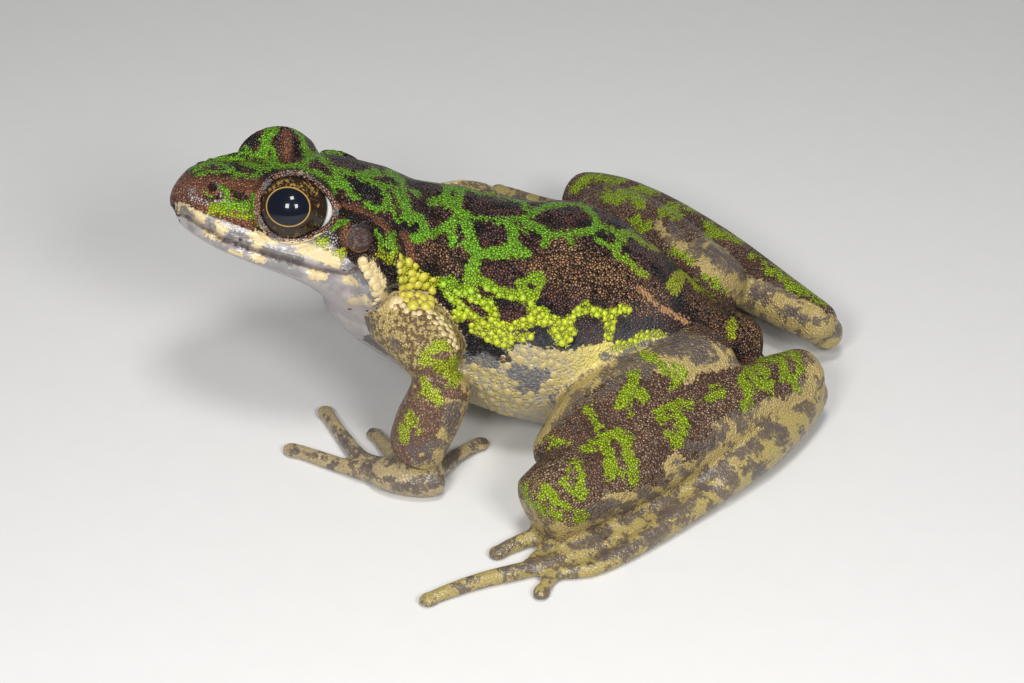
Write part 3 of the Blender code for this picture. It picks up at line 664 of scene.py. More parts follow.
class FrogEyeSettings(bpy.types.PropertyGroup):
    """Sizes and colours of the eyes and eardrums."""

    pupil_width: bpy.props.FloatProperty(
        name="Pupil width", description="Width of the pupil", default=0.0050, subtype="DISTANCE")
    pupil_height: bpy.props.FloatProperty(
        name="Pupil height", description="Height of the pupil", default=0.0045, subtype="DISTANCE")
    pupil: bpy.props.FloatVectorProperty(
        name="Pupil", description="Colour of the pupil", default=(0.003, 0.005, 0.012), subtype="COLOR")
    iris: bpy.props.FloatVectorProperty(
        name="Iris", description="Colour of the iris", default=(0.018, 0.009, 0.004), subtype="COLOR")
    gold: bpy.props.FloatVectorProperty(
        name="Gold", description="Colour of the ring and flecks", default=(0.44, 0.26, 0.06), subtype="COLOR")
    white: bpy.props.FloatVectorProperty(
        name="Inner lid", description="Colour of the inner lid", default=(0.62, 0.64, 0.60), subtype="COLOR")
    drum: bpy.props.FloatVectorProperty(
        name="Eardrum", description="Colour of the eardrum", default=(0.042, 0.019, 0.012), subtype="COLOR")


class FrogStageSettings(bpy.types.PropertyGroup):
    """Floor and lights."""

    floor: bpy.props.FloatVectorProperty(
        name="Floor", description="Colour of the floor", default=(0.72, 0.71, 0.69), subtype="COLOR")
    floor_size: bpy.props.FloatProperty(
        name="Floor size", description="Width of the floor", default=3.0, subtype="DISTANCE")
    flash: bpy.props.FloatProperty(
        name="Flash", description="Strength of each of the three softboxes", default=0.44, subtype="POWER")
    sky: bpy.props.FloatProperty(
        name="Sky", description="Strength of the light from all round", default=0.22)


def only(piece):
    """Selects one piece and makes it the active one."""
    bpy.ops.object.select_all(action="DESELECT")
    piece.select_set(True)
    bpy.context.view_layer.objects.active = piece


def ball(name, segments, rings, radius):
    """A new ball in the middle of the scene."""
    bpy.ops.object.select_all(action="DESELECT")
    bpy.ops.mesh.primitive_uv_sphere_add(segments=segments, ring_count=rings, radius=radius)
    piece = bpy.context.object
    piece.name = name
    return piece


def apply_modifier(piece, kind, **values):
    """Adds a modifier, sets it up and applies it."""
    only(piece)
    modifier = piece.modifiers.new(kind.title(), kind)
    for name, value in values.items():
        setattr(modifier, name, value)
    bpy.ops.object.modifier_apply(modifier=modifier.name)


def places_of(mesh):
    """A mesh's points as an array, in metres."""
    flat = np.zeros(len(mesh.vertices) * 3)
    mesh.vertices.foreach_get("co", flat)
    return flat.reshape(-1, 3)


def normals_of(mesh):
    """A mesh's point normals as an array."""
    flat = np.zeros(len(mesh.vertices) * 3)
    mesh.vertex_normals.foreach_get("vector", flat)
    return flat.reshape(-1, 3)


def set_places(mesh, places):
    """Moves a mesh's points."""
    mesh.vertices.foreach_set("co", places.astype(np.float32).ravel())
    mesh.update()


def drawn(places):
    """Packed metres to millimetres of the drawing frame."""
    return places / MM + np.array(SHIFT)


def set_drawn(mesh, places):
    """Moves a mesh's points to places of the drawing frame."""
    set_places(mesh, (places - np.array(SHIFT)) * MM)


def in_head(places):
    """Places of the drawing frame in the head's own frame."""
    turn = np.array(HEAD.inverted())
    return places @ turn[:3, :3].T + turn[:3, 3]


def from_head(places):
    """Places of the head's own frame in the drawing frame."""
    turn = np.array(HEAD)
    return places @ turn[:3, :3].T + turn[:3, 3]


WELD = MM / 1000
SMOOTHING = 3
SMOOTH_SHARE = 0.5
QUAD_CORNERS = 4

# Where the head's faces are split once: forward of, above and this near to its lips, nostrils and eyes.
FINE_TO = -1.0
FINE_FROM_HEIGHT = -5.0
FINE_REACH = 1.3
FINE_ROUND_EYE = 6.2

# The lids: a ring round the eyeball, drawn out rearwards, in a groove of the skin.
LID_RADIUS = 4.10
LID_WIDTH = 0.42
LID_THICKNESS = 0.38
LID_HEIGHT = 1.78
LID_STEPS = 144
LID_SIDES = 16
LID_GROOVE = (-0.22, 5.15, 0.32)
LID_SEAT = 1.80
LID_DROP = 1.3
LID_DROP_EDGE = (-4.2, -3.7)
LID_SINK_EDGE = (-5.2, -4.75)
CORNER_REACH = 1.3
CORNER_SINK = 0.5
CORNER_SPREAD = math.radians(32.0)
SLIDE_OUTER = (-7.0, -LID_RADIUS)
SLIDE_INNER = (2.0, 3.6)
EYE_BACK = -1.5
AXIS_GUARD = 1e-6

# Ridges and grooves of the head: how high each is, how far from its line or point, and how wide.
LIP_RIDGE = (0.24, 0.85, 0.5)
MOUTH_GROOVE = (-0.36, 0.0, 0.28)
NOSTRIL_RIM = (0.22, 0.75, 0.3)
NOSTRIL_PIT = (-0.75, 0.0, 0.38)
EARDRUM_RING = (0.26, 1.98, 0.32)
FOLD_WIDTH = 0.6
FOLD_LEFT = 0.30
FOLD_RIGHT = 0.08
GLAND_LIFT = 0.60
GLAND_EDGE = (-0.40, 0.55)
HEAD_REAR = 3.0
OFF_MIDLINE = (0.6, 2.0)


def copy_of(node):
    """A copy of a CAD node with its loose triangles merged."""
    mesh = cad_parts[node].data.copy()
    shape = bmesh.new()
    shape.from_mesh(mesh)
    bmesh.ops.remove_doubles(shape, verts=shape.verts, dist=WELD)
    shape.to_mesh(mesh)
    shape.free()
    mesh.materials.clear()
    piece = bpy.data.objects.new("copy_" + node, mesh)
    bpy.context.scene.collection.objects.link(piece)
    return piece


def left_view(local):
    """Points of the head on the camera's canvas, with its right half turned over to the left."""
    left = local[:, 1] < 0.0
    return Canvas(from_head(np.where(left[:, None], local, local * MIRROR)))


class Owners:
    """Tells which CAD node each point of the skin belongs to."""

    def __init__(self):
        corners = []
        faces = []
        self.names = []
        for name in FLESH:
            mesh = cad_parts[name].data
            start = len(corners)
            corners.extend(v.co.copy() for v in mesh.vertices)
            for face in mesh.polygons:
                faces.append([start + i for i in face.vertices])
                self.names.append(name)
        self.tree = BVHTree.FromPolygons(corners, faces)

    def of(self, places):
        """The node that is nearest to each place."""
        return np.array([self.names[self.tree.find_nearest(place)[2]] for place in places])


def joined_flesh(settings):
    """One closed skin over copies of all the flesh nodes."""
    copies = [copy_of(node) for node in FLESH]
    for piece in copies:
        apply_modifier(piece, "DISPLACE", strength=settings.close, mid_level=0.0)
    bpy.ops.object.select_all(action="DESELECT")
    for piece in copies:
        piece.select_set(True)
    bpy.context.view_layer.objects.active = copies[0]
    bpy.ops.object.join()
    skin = copies[0]
    skin.name = "skin"
    skin.data.name = "skin"
    apply_modifier(skin, "REMESH", mode="VOXEL", voxel_size=settings.grain, adaptivity=0.0)
    apply_modifier(skin, "DISPLACE", strength=-settings.close, mid_level=0.0)
    apply_modifier(skin, "SMOOTH", factor=SMOOTH_SHARE, iterations=SMOOTHING)
    return skin


def refine_head(skin, owners):
    """Splits the head's faces once, for its lids, lips and nostrils."""
    shape = bmesh.new()
    shape.from_mesh(skin.data)
    places = drawn(places_of(skin.data))
    local = in_head(places)
    names = owners.of(places_of(skin.data))
    seen = left_view(local)
    fine = seen.inside_strokes(MOUTH_LINE) > -FINE_REACH
    fine |= seen.to_pixel(NOSTRIL) < FINE_REACH
    for side in SIDES.values():
        radius, height, _, _ = around_eye(local, side)
        fine |= (radius < FINE_ROUND_EYE) & (height > 0.0)
    front = (names == "head") & (local[:, 0] < FINE_TO) & (local[:, 2] > FINE_FROM_HEIGHT) & fine
    shape.verts.ensure_lookup_table()
    faces = [f for f in shape.faces if all(front[v.index] for v in f.verts)]
    edges = list({e for f in faces for e in f.edges})
    bmesh.ops.subdivide_edges(shape, edges=edges, cuts=1, use_grid_fill=True)
    bmesh.ops.triangulate(shape, faces=[f for f in shape.faces if len(f.verts) > QUAD_CORNERS])
    shape.to_mesh(skin.data)
    shape.free()


def eye_frame(side):
    """Rearwards, upwards and outwards at one eye, in the head's own frame."""
    axis = np.array(eye_axis(side))
    rearwards = REARWARDS - axis[0] * axis
    rearwards /= np.linalg.norm(rearwards)
    upwards = np.cross(rearwards, axis) * side
    if upwards[2] < 0.0:
        upwards = -upwards
    return rearwards, upwards, axis


def around_eye(local, side):
    """Distance from an eye's axis, height along it, the angle round it and the way from it."""
    rearwards, upwards, axis = eye_frame(side)
    from_eye = local - np.array(sided(EYE_PLACE, side))
    height = from_eye @ axis
    flat = from_eye - height[:, None] * axis
    angle = np.arctan2(flat @ upwards, flat @ rearwards)
    return np.linalg.norm(flat, axis=1), height, angle, flat


def ridge(distance, height, place, width):
    """A soft ridge, or a groove where its height is below zero, at one distance from a line or a point."""
    return height * np.exp(-(((distance - place) / width) ** 2))


def corner_reach(angle):
    """How far the lids open rearwards of the round eyeball."""
    return CORNER_REACH * np.exp(-((angle / CORNER_SPREAD) ** 2))


def sculpt_head(skin, names):
    """Lips, nostrils, glands, the ring and fold of the eardrum, and the seats of the lids."""
    mesh = skin.data
    places = drawn(places_of(mesh))
    normals = normals_of(mesh)
    local = in_head(places)
    head = (names == "head") & (local[:, 0] < HEAD_REAR)
    left = local[:, 1] < 0.0
    seen = left_view(local)
    outer = ramp(np.abs(local[:, 1]), *OFF_MIDLINE)
    mouth = seen.to_line(MOUTH_LINE)
    lift = outer * (ridge(mouth, *LIP_RIDGE) + ridge(mouth, *MOUTH_GROOVE))
    lift += outer * ridge(seen.to_line(EAR_FOLD), np.where(left, FOLD_LEFT, FOLD_RIGHT), 0.0, FOLD_WIDTH)
    lift += outer * GLAND_LIFT * ramp(seen.inside_strokes(GLANDS), *GLAND_EDGE)
    from_drum = np.where(left[:, None], local * MIRROR, local) - np.array(EAR_PLACE)
    lift += ridge(np.linalg.norm(from_drum, axis=1), *EARDRUM_RING)
    nostril = seen.to_pixel(NOSTRIL)
    lift += outer * (ridge(nostril, *NOSTRIL_RIM) + ridge(nostril, *NOSTRIL_PIT))
    for side in SIDES.values():
        axis = np.array(eye_axis(side))
        radius, height, angle, flat = around_eye(local, side)
        near = head & (height > EYE_BACK) & (local[:, 1] * side > 0.0)
        slide = corner_reach(angle) * near * ramp(-radius, *SLIDE_OUTER) * ramp(radius, *SLIDE_INNER)
        outwards = flat / np.maximum(radius, AXIS_GUARD)[:, None]
        push = outwards * slide[:, None] - axis * (CORNER_SINK * slide)[:, None]
        places += push @ HEAD_WAYS.T
        radius, height, angle, flat = around_eye(in_head(places), side)
        inner = radius - corner_reach(angle)
        lift += near * ridge(inner, *LID_GROOVE)
        top = LID_SEAT - LID_DROP * ramp(-inner, *LID_DROP_EDGE)
        sink = near * ramp(-inner, *LID_SINK_EDGE) * np.maximum(height - top, 0.0)
        places -= sink[:, None] * (axis @ HEAD_WAYS.T)
    places += normals * (lift * head)[:, None]
    set_drawn(mesh, places)


def settle(skin):
    """Rests the skin flat on the ground."""
    places = places_of(skin.data)
    places[:, 2] = np.maximum(places[:, 2], 0.0)
    set_places(skin.data, places)


def add_layer(mesh, name, values):
    """Stores one number for each point, for the material to read."""
    layer = mesh.attributes.get(name) or mesh.attributes.new(name, "FLOAT", "POINT")
    layer.data.foreach_set("value", np.asarray(values, np.float32))


LIMBS = {
    "arm": ("upper_arm_", "forearm_", "hand_"),
    "hand": ("hand_",),
    "thigh": ("thigh_",),
    "shank": ("shank_",),
    "leg": ("thigh_", "shank_"),
    "foot": ("foot_",),
}

# The sizes of the coarse, the medium and the fine noise that break up the paint.
PAINT_NOISES = (9.0, 4.0, 2.0)

# How squarely the skin has to face the camera to be painted as it is seen.
FACES_CAMERA = 0.12
LIMB_SEEN = -0.05
SHANK_SEEN = -0.6

# Where the paint of the head and the trunk starts and ends, in millimetres or as shares of a turn downwards.
BELLY_DOWN = 0.45
JAW_DOWN = 0.35
DOWN_SHARPNESS = 6.0
SEAM_SHADE_EDGE = (-0.34, -0.12)
NOSTRIL_SHADE = 0.55
JAW_EDGE = (-0.15, 0.15)
LIP_EDGE = (-0.25, 0.25)
THROAT_DOWN = (0.1, 0.6)
THROAT_FROM = (5.0, 12.0)
RUST_SHARE = 0.6
RUST_EDGE = (-0.3, 0.5)
ASH_EDGE = (-0.2, 0.3)
TAN_EDGE = (-1.8, 1.2)
FLANK_LOW = (-22.0, -15.0)
FLANK_FRONT = (-23.0, -15.0)
BEADS_FRONT = (-11.0, -4.0)
LIME_LOW = (-27.5, -19.0)
LIME_ON_HEAD = (-4.5, -2.0)
GOLDEN_EDGE = (-1.6, 0.4)
YELLOW_REAR = (4.0, 14.0)
SMOOTH_DOWN = (0.1, 0.5)

# The same for the limbs. Spots are the fine noise's share, the level to pass and a sharpness.
ISLAND_DEPTH = 0.4
RAGGED_EDGE = 0.4
DRAB_EDGE = (-1.0, 0.5)
SHANK_END_EDGE = (-1.2, 0.5)
TOPSIDE = 0.2
UNDERSIDE = 0.1
LEG_NET_SPOTS = (0.4, 1.25, 1.6)
ARM_NET_SPOTS = (0.4, 1.5, 1.6)
LEG_GRAY_SPOTS = (0.0, 0.9, 1.5)
ARM_GRAY_SPOTS = (0.3, 0.75, 1.5)
FOOT_GRAY_SPOTS = (0.3, 0.65, 1.5)
LEG_PALE_TURN = 0.05
LEG_PALE_WAVE = 0.12
LEG_PALE_SHARPNESS = 5.0
LEG_LIME = 0.62
ARM_LIME = 0.85
WELL_INSIDE = 2.0
PALE_WAVE = 0.1
HIDDEN_DRAB = (0.2, 1.4)
LEG_TAN_SHARE = 0.5
LEG_TAN_WAVE = 0.2
SHANK_TAN_SHARE = 0.72
SHANK_TAN_WAVE = 0.25
SHANK_TAN_END = 0.3
HAND_SMOOTHNESS = 0.75
FOOT_PATCHES = 0.8
LEG_PATCHES = 0.7
ARM_PATCHES = 0.45


def starts(names, kinds, side=""):
    """Which points belong to nodes of those kinds."""
    found = np.zeros(len(names), bool)
    for kind in kinds:
        found |= np.char.startswith(names, kind)
    if side:
        found &= np.char.endswith(names, side)
    return found


def paint(skin, names):
    """Lays the markings on the skin as signed depths and shares for the material."""
    mesh = skin.data
    places = drawn(places_of(mesh))
    normals = normals_of(mesh)
    layers = painted_layers(places, normals, names)
    for name, values in layers.items():
        add_layer(mesh, name, values)


def painted_layers(places, normals, names):
    """The value of every layer of the skin's paint at each place."""
    local = in_head(places)
    sight = CAMERA_PLACE - places
    sight /= np.linalg.norm(sight, axis=1)[:, None]
    facing = (normals * sight).sum(1)
    down = -normals[:, 2]
    head = names == "head"
    torso = names == "torso"
    body = head | torso
    direct = Canvas(places)
    other = Canvas(np.where(head[:, None], from_head(local * MIRROR), places * MIRROR))
    near_side = np.where(head, local[:, 1] < 0.0, places[:, 1] < 0.0)
    use_direct = near_side | (facing > FACES_CAMERA)
    noises = [smooth_noise(places, size, SEED + step) for step, size in enumerate(PAINT_NOISES)]
    coarse, medium, fine = noises
    count = len(places)
    layers = {name: np.full(count, FAR_OUTSIDE) for name in ("net", "pale", "gray", "black", "line")}

    def lay(layer, mask, values):
        layers[layer] = np.where(mask, np.maximum(layers[layer], values), layers[layer])

    def on_body(measure, shape):
        return np.where(use_direct, getattr(direct, measure)(shape), getattr(other, measure)(shape))

    def strokes_on_body(strokes):
        return on_body("inside_strokes", strokes)

    def patch_on_body(outline):
        return on_body("inside_patch", outline)

    def spots(share, level, sharpness):
        return (medium + share * fine - level) * sharpness

    for layer, mask, strokes in (
        ("net", body, HEAD_NET),
        ("net", body, BACK_NET),
        ("net", body, SHOULDER_GOLD),
        ("pale", body, HEAD_CREAM),
        ("gray", torso, BACK_GRAY),
        ("gray", head, HEAD_SLATE),
        ("line", torso, BACK_LINE),
        ("black", body, HEAD_BLACK),
        ("black", torso, BACK_BLACK),
    ):
        lay(layer, mask, strokes_on_body(strokes))
    lay("pale", torso, patch_on_body(BACK_PALE))
    lay("pale", torso, (down - BELLY_DOWN) * DOWN_SHARPNESS)
    # A black spot in the nostril: painted shade of its opening, together with the black skin round it.
    lay("black", head, NOSTRIL_SHADE - on_body("to_pixel", NOSTRIL))
    # The seam is a dark band along the mouth's groove, painted shade of the crease between the lips.
    layers["seam_shade"] = np.where(head, ramp(-on_body("to_line", MOUTH_LINE), *SEAM_SHADE_EDGE), 0.0)
    jaw = np.maximum(patch_on_body(HEAD_JAW), (down - JAW_DOWN) * DOWN_SHARPNESS)
    lip = patch_on_body(HEAD_LIP)
    layers["jaw"] = np.where(head, np.maximum(ramp(jaw, *JAW_EDGE), ramp(lip, *LIP_EDGE)), 0.0)
    throat = ramp(down, *THROAT_DOWN) * ramp(-places[:, 0], *THROAT_FROM)
    layers["throat"] = np.where(body, throat, 0.0)
    rust = np.maximum(patch_on_body(HEAD_SIDE) * RUST_SHARE, strokes_on_body(HEAD_RUST))
    layers["rust"] = np.where(body, ramp(rust, *RUST_EDGE), 0.0)
    layers["ash"] = np.where(head, ramp(strokes_on_body(HEAD_ASH), *ASH_EDGE), 0.0)
    low_side = ramp(-places[:, 2], *FLANK_LOW) * ramp(-places[:, 0], *FLANK_FRONT)
    layers["flank"] = np.where(torso, low_side, 0.0)
    layers["beads"] = np.where(torso, ramp(-places[:, 0], *BEADS_FRONT), 0.0)
    layers["yellow"] = np.where(torso, ramp(places[:, 0], *YELLOW_REAR), 0.0)
    lime = np.where(torso, ramp(-places[:, 2], *LIME_LOW), 0.0)
    lime = np.where(head, ramp(-local[:, 2], *LIME_ON_HEAD), lime)
    golden = ramp(patch_on_body(SHOULDER_FIELD), *GOLDEN_EDGE)
    lime = np.where(body, np.maximum(lime, golden), lime)

    arm = starts(names, LIMBS["arm"], "left")
    thigh = starts(names, LIMBS["thigh"], "left")
    shank = starts(names, LIMBS["shank"], "left")
    foot = starts(names, LIMBS["foot"], "left")
    far_leg = starts(names, LIMBS["leg"], "right")
    seen = facing > LIMB_SEEN
    for layer, mask, strokes in (
        ("net", arm, ARM_NET),
        ("gray", arm, ARM_GRAY),
        ("net", thigh, THIGH_NET),
        ("gray", thigh, THIGH_GRAY),
        ("gray", thigh, GROIN_GRAY),
        ("net", shank, SHANK_NET),
        ("gray", shank, SHANK_GRAY),
        ("gray", foot, FOOT_GRAY),
        ("net", far_leg, FAR_SHANK_NET),
        ("gray", far_leg, FAR_SHANK_GRAY),
    ):
        lay(layer, mask & seen, direct.inside_strokes(strokes))
    for mask, outline in (
        (thigh & seen, THIGH_PALE),
        (thigh & seen, GROIN_PALE),
        (shank & (facing > SHANK_SEEN), SHANK_PALE),
        (far_leg & seen, FAR_SHANK_PALE),
    ):
        lay("pale", mask, direct.inside_patch(outline))
    hands = starts(names, LIMBS["hand"])
    brown = np.maximum(direct.inside_patch(ARM_BROWN), direct.inside_strokes(ARM_ISLAND) + ISLAND_DEPTH)
    brown = ramp(brown + fine * RAGGED_EDGE, *DRAB_EDGE) * seen
    shank_end = ramp(direct.inside_strokes(SHANK_TAN) + RAGGED_EDGE * fine, *SHANK_END_EDGE)

    arms = starts(names, LIMBS["arm"])
    feet = starts(names, LIMBS["foot"])
    legs = starts(names, LIMBS["leg"])
    upper = starts(names, ("upper_arm_",))
    hidden_arm = arms & ~(arm & seen)
    hidden_leg = legs & ~(seen & (thigh | shank | far_leg))
    hidden_foot = feet & ~(foot & seen)
    lay("net", hidden_leg, np.where(down < TOPSIDE, spots(*LEG_NET_SPOTS), FAR_OUTSIDE))
    lay("net", hidden_arm & ~hands, spots(*ARM_NET_SPOTS))
    lay("pale", hidden_leg, (down + LEG_PALE_TURN + LEG_PALE_WAVE * coarse) * LEG_PALE_SHARPNESS)
    lay("gray", hidden_leg & (down > UNDERSIDE), spots(*LEG_GRAY_SPOTS))
    lay("gray", hidden_arm, spots(*ARM_GRAY_SPOTS))
    lay("gray", hidden_foot, spots(*FOOT_GRAY_SPOTS))
    lay("pale", arms | feet, WELL_INSIDE + fine * PALE_WAVE)
    layers["lime"] = np.where(legs, LEG_LIME, np.where(arms | feet, ARM_LIME, lime))
    drab = np.where(arm & ~hands, brown, 0.0)
    layers["drab"] = np.where(hidden_arm, ramp(medium, *HIDDEN_DRAB), drab)
    tan = np.where(torso, ramp(strokes_on_body(BACK_TAN), *TAN_EDGE), 0.0)
    tan = np.where(legs, np.clip(LEG_TAN_SHARE + LEG_TAN_WAVE * coarse, 0.0, 1.0), tan)
    shank_tan = SHANK_TAN_SHARE + SHANK_TAN_WAVE * coarse + SHANK_TAN_END * shank_end
    layers["tan"] = np.where(shank, np.clip(shank_tan, 0.0, 1.0), tan)
    layers["dun"] = np.where(shank, shank_end, 0.0)
    smooth = np.where(feet | hands, HAND_SMOOTHNESS, layers["jaw"])
    layers["smooth"] = np.where(body, np.maximum(smooth, ramp(down, *SMOOTH_DOWN)), smooth)
    patches = np.where(legs, LEG_PATCHES, np.where(arms & ~upper, ARM_PATCHES, 0.0))
    layers["patch"] = np.where(feet, FOOT_PATCHES, patches)
    for name, mask in (
        ("limb", arms | feet | legs),
        ("foot", feet),
        ("hand", hands),
        ("mottle", upper),
        ("trunk", torso),
        ("fine", arms | feet | legs | head),
    ):
        layers[name] = mask.astype(float)
    return layers


# The sockets of a colour mix: its share and its two colours, and what comes out.
MIX_INPUTS = (0, 6, 7)
MIX_OUTPUT = 2


class Paint:
    """A material's node tree, with short ways to add what it needs."""

    def __init__(self, name):
        self.material = bpy.data.materials.new(name)
        self.material.use_nodes = True
        self.tree = self.material.node_tree
        self.shader = next(node for node in self.tree.nodes if node.type == "BSDF_PRINCIPLED")
        self.place = self.tree.nodes.new("ShaderNodeTexCoord").outputs["Object"]

    def feed(self, socket, value):
        """Links another node's output to a socket, or sets its value."""
        if isinstance(value, bpy.types.NodeSocket):
            self.tree.links.new(value, socket)
            return
        if hasattr(value, "__len__") and len(value) < len(socket.default_value):
            value = (*value, 1.0)
        socket.default_value = value

    def fix(self, values):
        """Sets constants on the shader's own sockets."""
        for name, value in values.items():
            self.shader.inputs[name].default_value = value

    def sum(self, first, second, how="ADD"):
        """Two numbers, added or joined in another way."""
        node = self.tree.nodes.new("ShaderNodeMath")
        node.operation = how
        self.feed(node.inputs[0], first)
        self.feed(node.inputs[1], second)
        return node.outputs[0]

    def less(self, first, second):
        """The first number less the second."""
        return self.sum(first, second, "SUBTRACT")

    def times(self, first, second):
        """The product of two numbers."""
        return self.sum(first, second, "MULTIPLY")

    def larger(self, first, second):
        """The larger of two numbers."""
        return self.sum(first, second, "MAXIMUM")

    def step(self, value, low, high, bottom=0.0, top=1.0):
        """A number stepped smoothly from bottom at low to top at high."""
        node = self.tree.nodes.new("ShaderNodeMapRange")
        node.interpolation_type = "SMOOTHSTEP"
        self.feed(node.inputs["Value"], value)
        node.inputs["From Min"].default_value = low
        node.inputs["From Max"].default_value = high
        node.inputs["To Min"].default_value = bottom
        node.inputs["To Max"].default_value = top
        return node.outputs["Result"]

    def mix(self, share, first, second):
        """One colour over another."""
        node = self.tree.nodes.new("ShaderNodeMix")
        node.data_type = "RGBA"
        for index, value in zip(MIX_INPUTS, (share, first, second)):
            self.feed(node.inputs[index], value)
        return node.outputs[MIX_OUTPUT]

    def layer(self, name):
        """A number stored on the mesh."""
        node = self.tree.nodes.new("ShaderNodeAttribute")
        node.attribute_name = name
        return node.outputs["Fac"]

    def gaps(self, scale):
        """How far from the edge between granules, at that many in a metre."""
        node = self.tree.nodes.new("ShaderNodeTexVoronoi")
        node.feature = "DISTANCE_TO_EDGE"
        self.feed(node.inputs["Vector"], self.place)
        self.feed(node.inputs["Scale"], scale)
        return node.outputs["Distance"]

    def cells(self, scale):
        """Granules, that many in a metre: how far from each one's middle, and two numbers for each."""
        node = self.tree.nodes.new("ShaderNodeTexVoronoi")
        self.feed(node.inputs["Vector"], self.place)
        self.feed(node.inputs["Scale"], scale)
        split = self.tree.nodes.new("ShaderNodeSeparateColor")
        self.feed(split.inputs[0], node.outputs["Color"])
        return node.outputs["Distance"], split.outputs[0], split.outputs[1]

    def noise(self, size, detail, rough):
        """Soft noise with lumps of about that size."""
        node = self.tree.nodes.new("ShaderNodeTexNoise")
        self.feed(node.inputs["Vector"], self.place)
        node.inputs["Scale"].default_value = 1.0 / size
        node.inputs["Detail"].default_value = detail
        node.inputs["Roughness"].default_value = rough
        return node.outputs["Fac"]

    def relief(self, height, depth):
        """Fine relief from a height."""
        node = self.tree.nodes.new("ShaderNodeBump")
        node.inputs["Strength"].default_value = 1.0
        node.inputs["Distance"].default_value = depth
        self.feed(node.inputs["Height"], height)
        self.feed(self.shader.inputs["Normal"], node.outputs["Normal"])
        self.feed(self.shader.inputs["Coat Normal"], node.outputs["Normal"])


PURPLE = (0.105, 0.066, 0.064)
RUST = (0.35, 0.155, 0.072)
ASH = (0.50, 0.47, 0.48)
SLATE = (0.115, 0.118, 0.130)
SLATE_PALE = (0.30, 0.29, 0.295)
# Cream of the trunk: yellower than the underside's cream, and darker as painted shade of the belly.
SHADED_TRUNK_PALE = (0.47, 0.385, 0.155)
DUN = (0.40, 0.30, 0.14)
LEG_TAN = (0.40, 0.265, 0.165)
DRAB_TAN = (0.33, 0.20, 0.115)
JAW_GRAY = (0.23, 0.21, 0.215)
JAW_PALE = (0.43, 0.385, 0.365)
LIMB_PALE = (0.52, 0.41, 0.15)
FOOT_PALE = (0.44, 0.36, 0.12)
HAND_PALE = (0.47, 0.385, 0.20)
LIMB_GRAY = (0.105, 0.080, 0.072)
LIMB_BROWN = (0.105, 0.058, 0.034)
LEMON = (0.74, 0.64, 0.16)
LID = (0.46, 0.25, 0.17)
GOLD_WART = (0.56, 0.52, 0.025)
SLATE_DARK = (0.030, 0.029, 0.033)
SPECK = (0.05, 0.018, 0.012)
BLACK = (0.006, 0.005, 0.005)

# Noises of the materials: the size of their lumps in metres, their detail and their roughness.
GRAIN = (0.00029, 3.0, 0.55)
CLOUD = (0.0034, 3.0, 0.55)
MOTTLE = (0.0011, 4.0, 0.65)
PATCHES = (0.0026, 4.0, 0.6)
FLECKS = (0.00062, 4.0, 0.7)
EYE_FLECKS = (0.00045, 5.0, 0.7)
EYE_THREADS = (0.0011, 3.0, 0.55)
DRUM_CLOUD = (0.0012, 3.0, 0.55)
DRUM_GRAIN = (0.0004, 3.0, 0.55)
FLOOR_GRAIN = (0.004, 3.0, 0.55)
BEAD_SIZE = 0.00105
SPECK_SIZE = 0.0021

# Steps of the materials: where each starts and ends, and for some what it starts and ends with.
DOME_STEP = (0.75, 0.05)
BEAD_STEP = (0.05, 0.26)
WAVE_STEP = (0.0, 1.0, 1.0, 0.45)
PURPLE_STEP = (0.2, 0.8)
DUSK_STEP = (0.42, 0.62)
LIMB_DUSK_STEP = (0.0, 1.0, 1.0, 0.5)
TAN_STEP = (0.0, 0.6)
RUST_STEP = (0.0, 0.7, 0.35, 1.0)
JAW_CLOUD_STEP = (0.38, 0.6)
JAW_STEP = (0.35, 0.65)
BETWEEN_STEP = (0.38, 0.50)
MARBLE_STEP = (0.54, 0.66)
PALE_GRAIN_STEP = (0.3, 0.75, 0.0, 0.25)
FLECK_STEP = (0.66, 0.70, 0.0, 0.8)
PATCH_LIGHT_STEP = (0.72, 0.86, 0.0, 0.6)
PATCH_STEP = (0.075, 0.115, 0.0, 0.85)
PATCHED_STEP = (0.1, 0.4)
PIT_STEP = (0.20, 0.03, 0.0, 0.38)
DRAB_STEP = (0.4, 0.6)
DRAB_TAN_STEP = (0.30, 0.55, 0.0, 0.75)
BLOTCH_LIGHT_STEP = (0.7, 0.9)
NET_BROWN_STEP = (0.0, 1.0, 0.0, 0.30)
NET_BEAD_STEP = (0.01, 0.21)
SEAM_SHADE_STEP = (0.2, 0.8, 0.0, 0.7)
SPOT_STEP = (0.17, 0.11)
SPOT_CHANCE_STEP = (0.70, 0.74)
SKIRT_SHADE_STEP = (0.35, 0.05)
SPECULAR_STEP = (0.0, 1.0, 0.05, 0.4)
FLAT_RELIEF_STEP = (0.0, 1.0, 1.0, 0.06)
WART_RELIEF_STEP = (0.0, 1.0, 1.0, 0.0)

# How strongly each cause tells in the skin's material.
MIDDLE = 0.5
FINER_SHARE = 0.10
RAGGED_SHARE = 0.50
LACE_LEVEL = 0.52
LACE_SHARE = 2.6
SOFT_EDGE = 0.06
BLOTCH_SOFT_EDGE = 0.14
FLANK_DARK = 0.65
LID_TINT = 0.75
RUST_GAPS = 0.5
FLANK_GAPS = 0.8
DUN_TINT = 0.85
DUN_GAPS = 0.6
LIMB_GAPS = 0.45
BETWEEN_TINT = 0.55
MARBLE_TINT = 0.45
FLECK_CLOUDS = 0.35
PATCH_RAGGED = 0.5
PATCH_BIAS = 0.08
DRAB_RAGGED = 0.6
BLOTCH_LIGHT = 0.3
BLOTCH_TINT = 0.9
BLACK_TINT = 0.85
NET_SHADE = 0.85
SKIRT_SHADE_TINT = 0.8
PALE_FLATNESS = 0.42
BEAD_SHINE = 0.9
GRAIN_RELIEF = 0.12
GRANULE_DEPTH = 0.00021
SKIN_GLOSS = {
    "Roughness": 0.42,
    "Coat Roughness": 0.11,
    "Subsurface Weight": 0.04,
    "Subsurface Radius": (0.001, 0.0006, 0.0003),
}


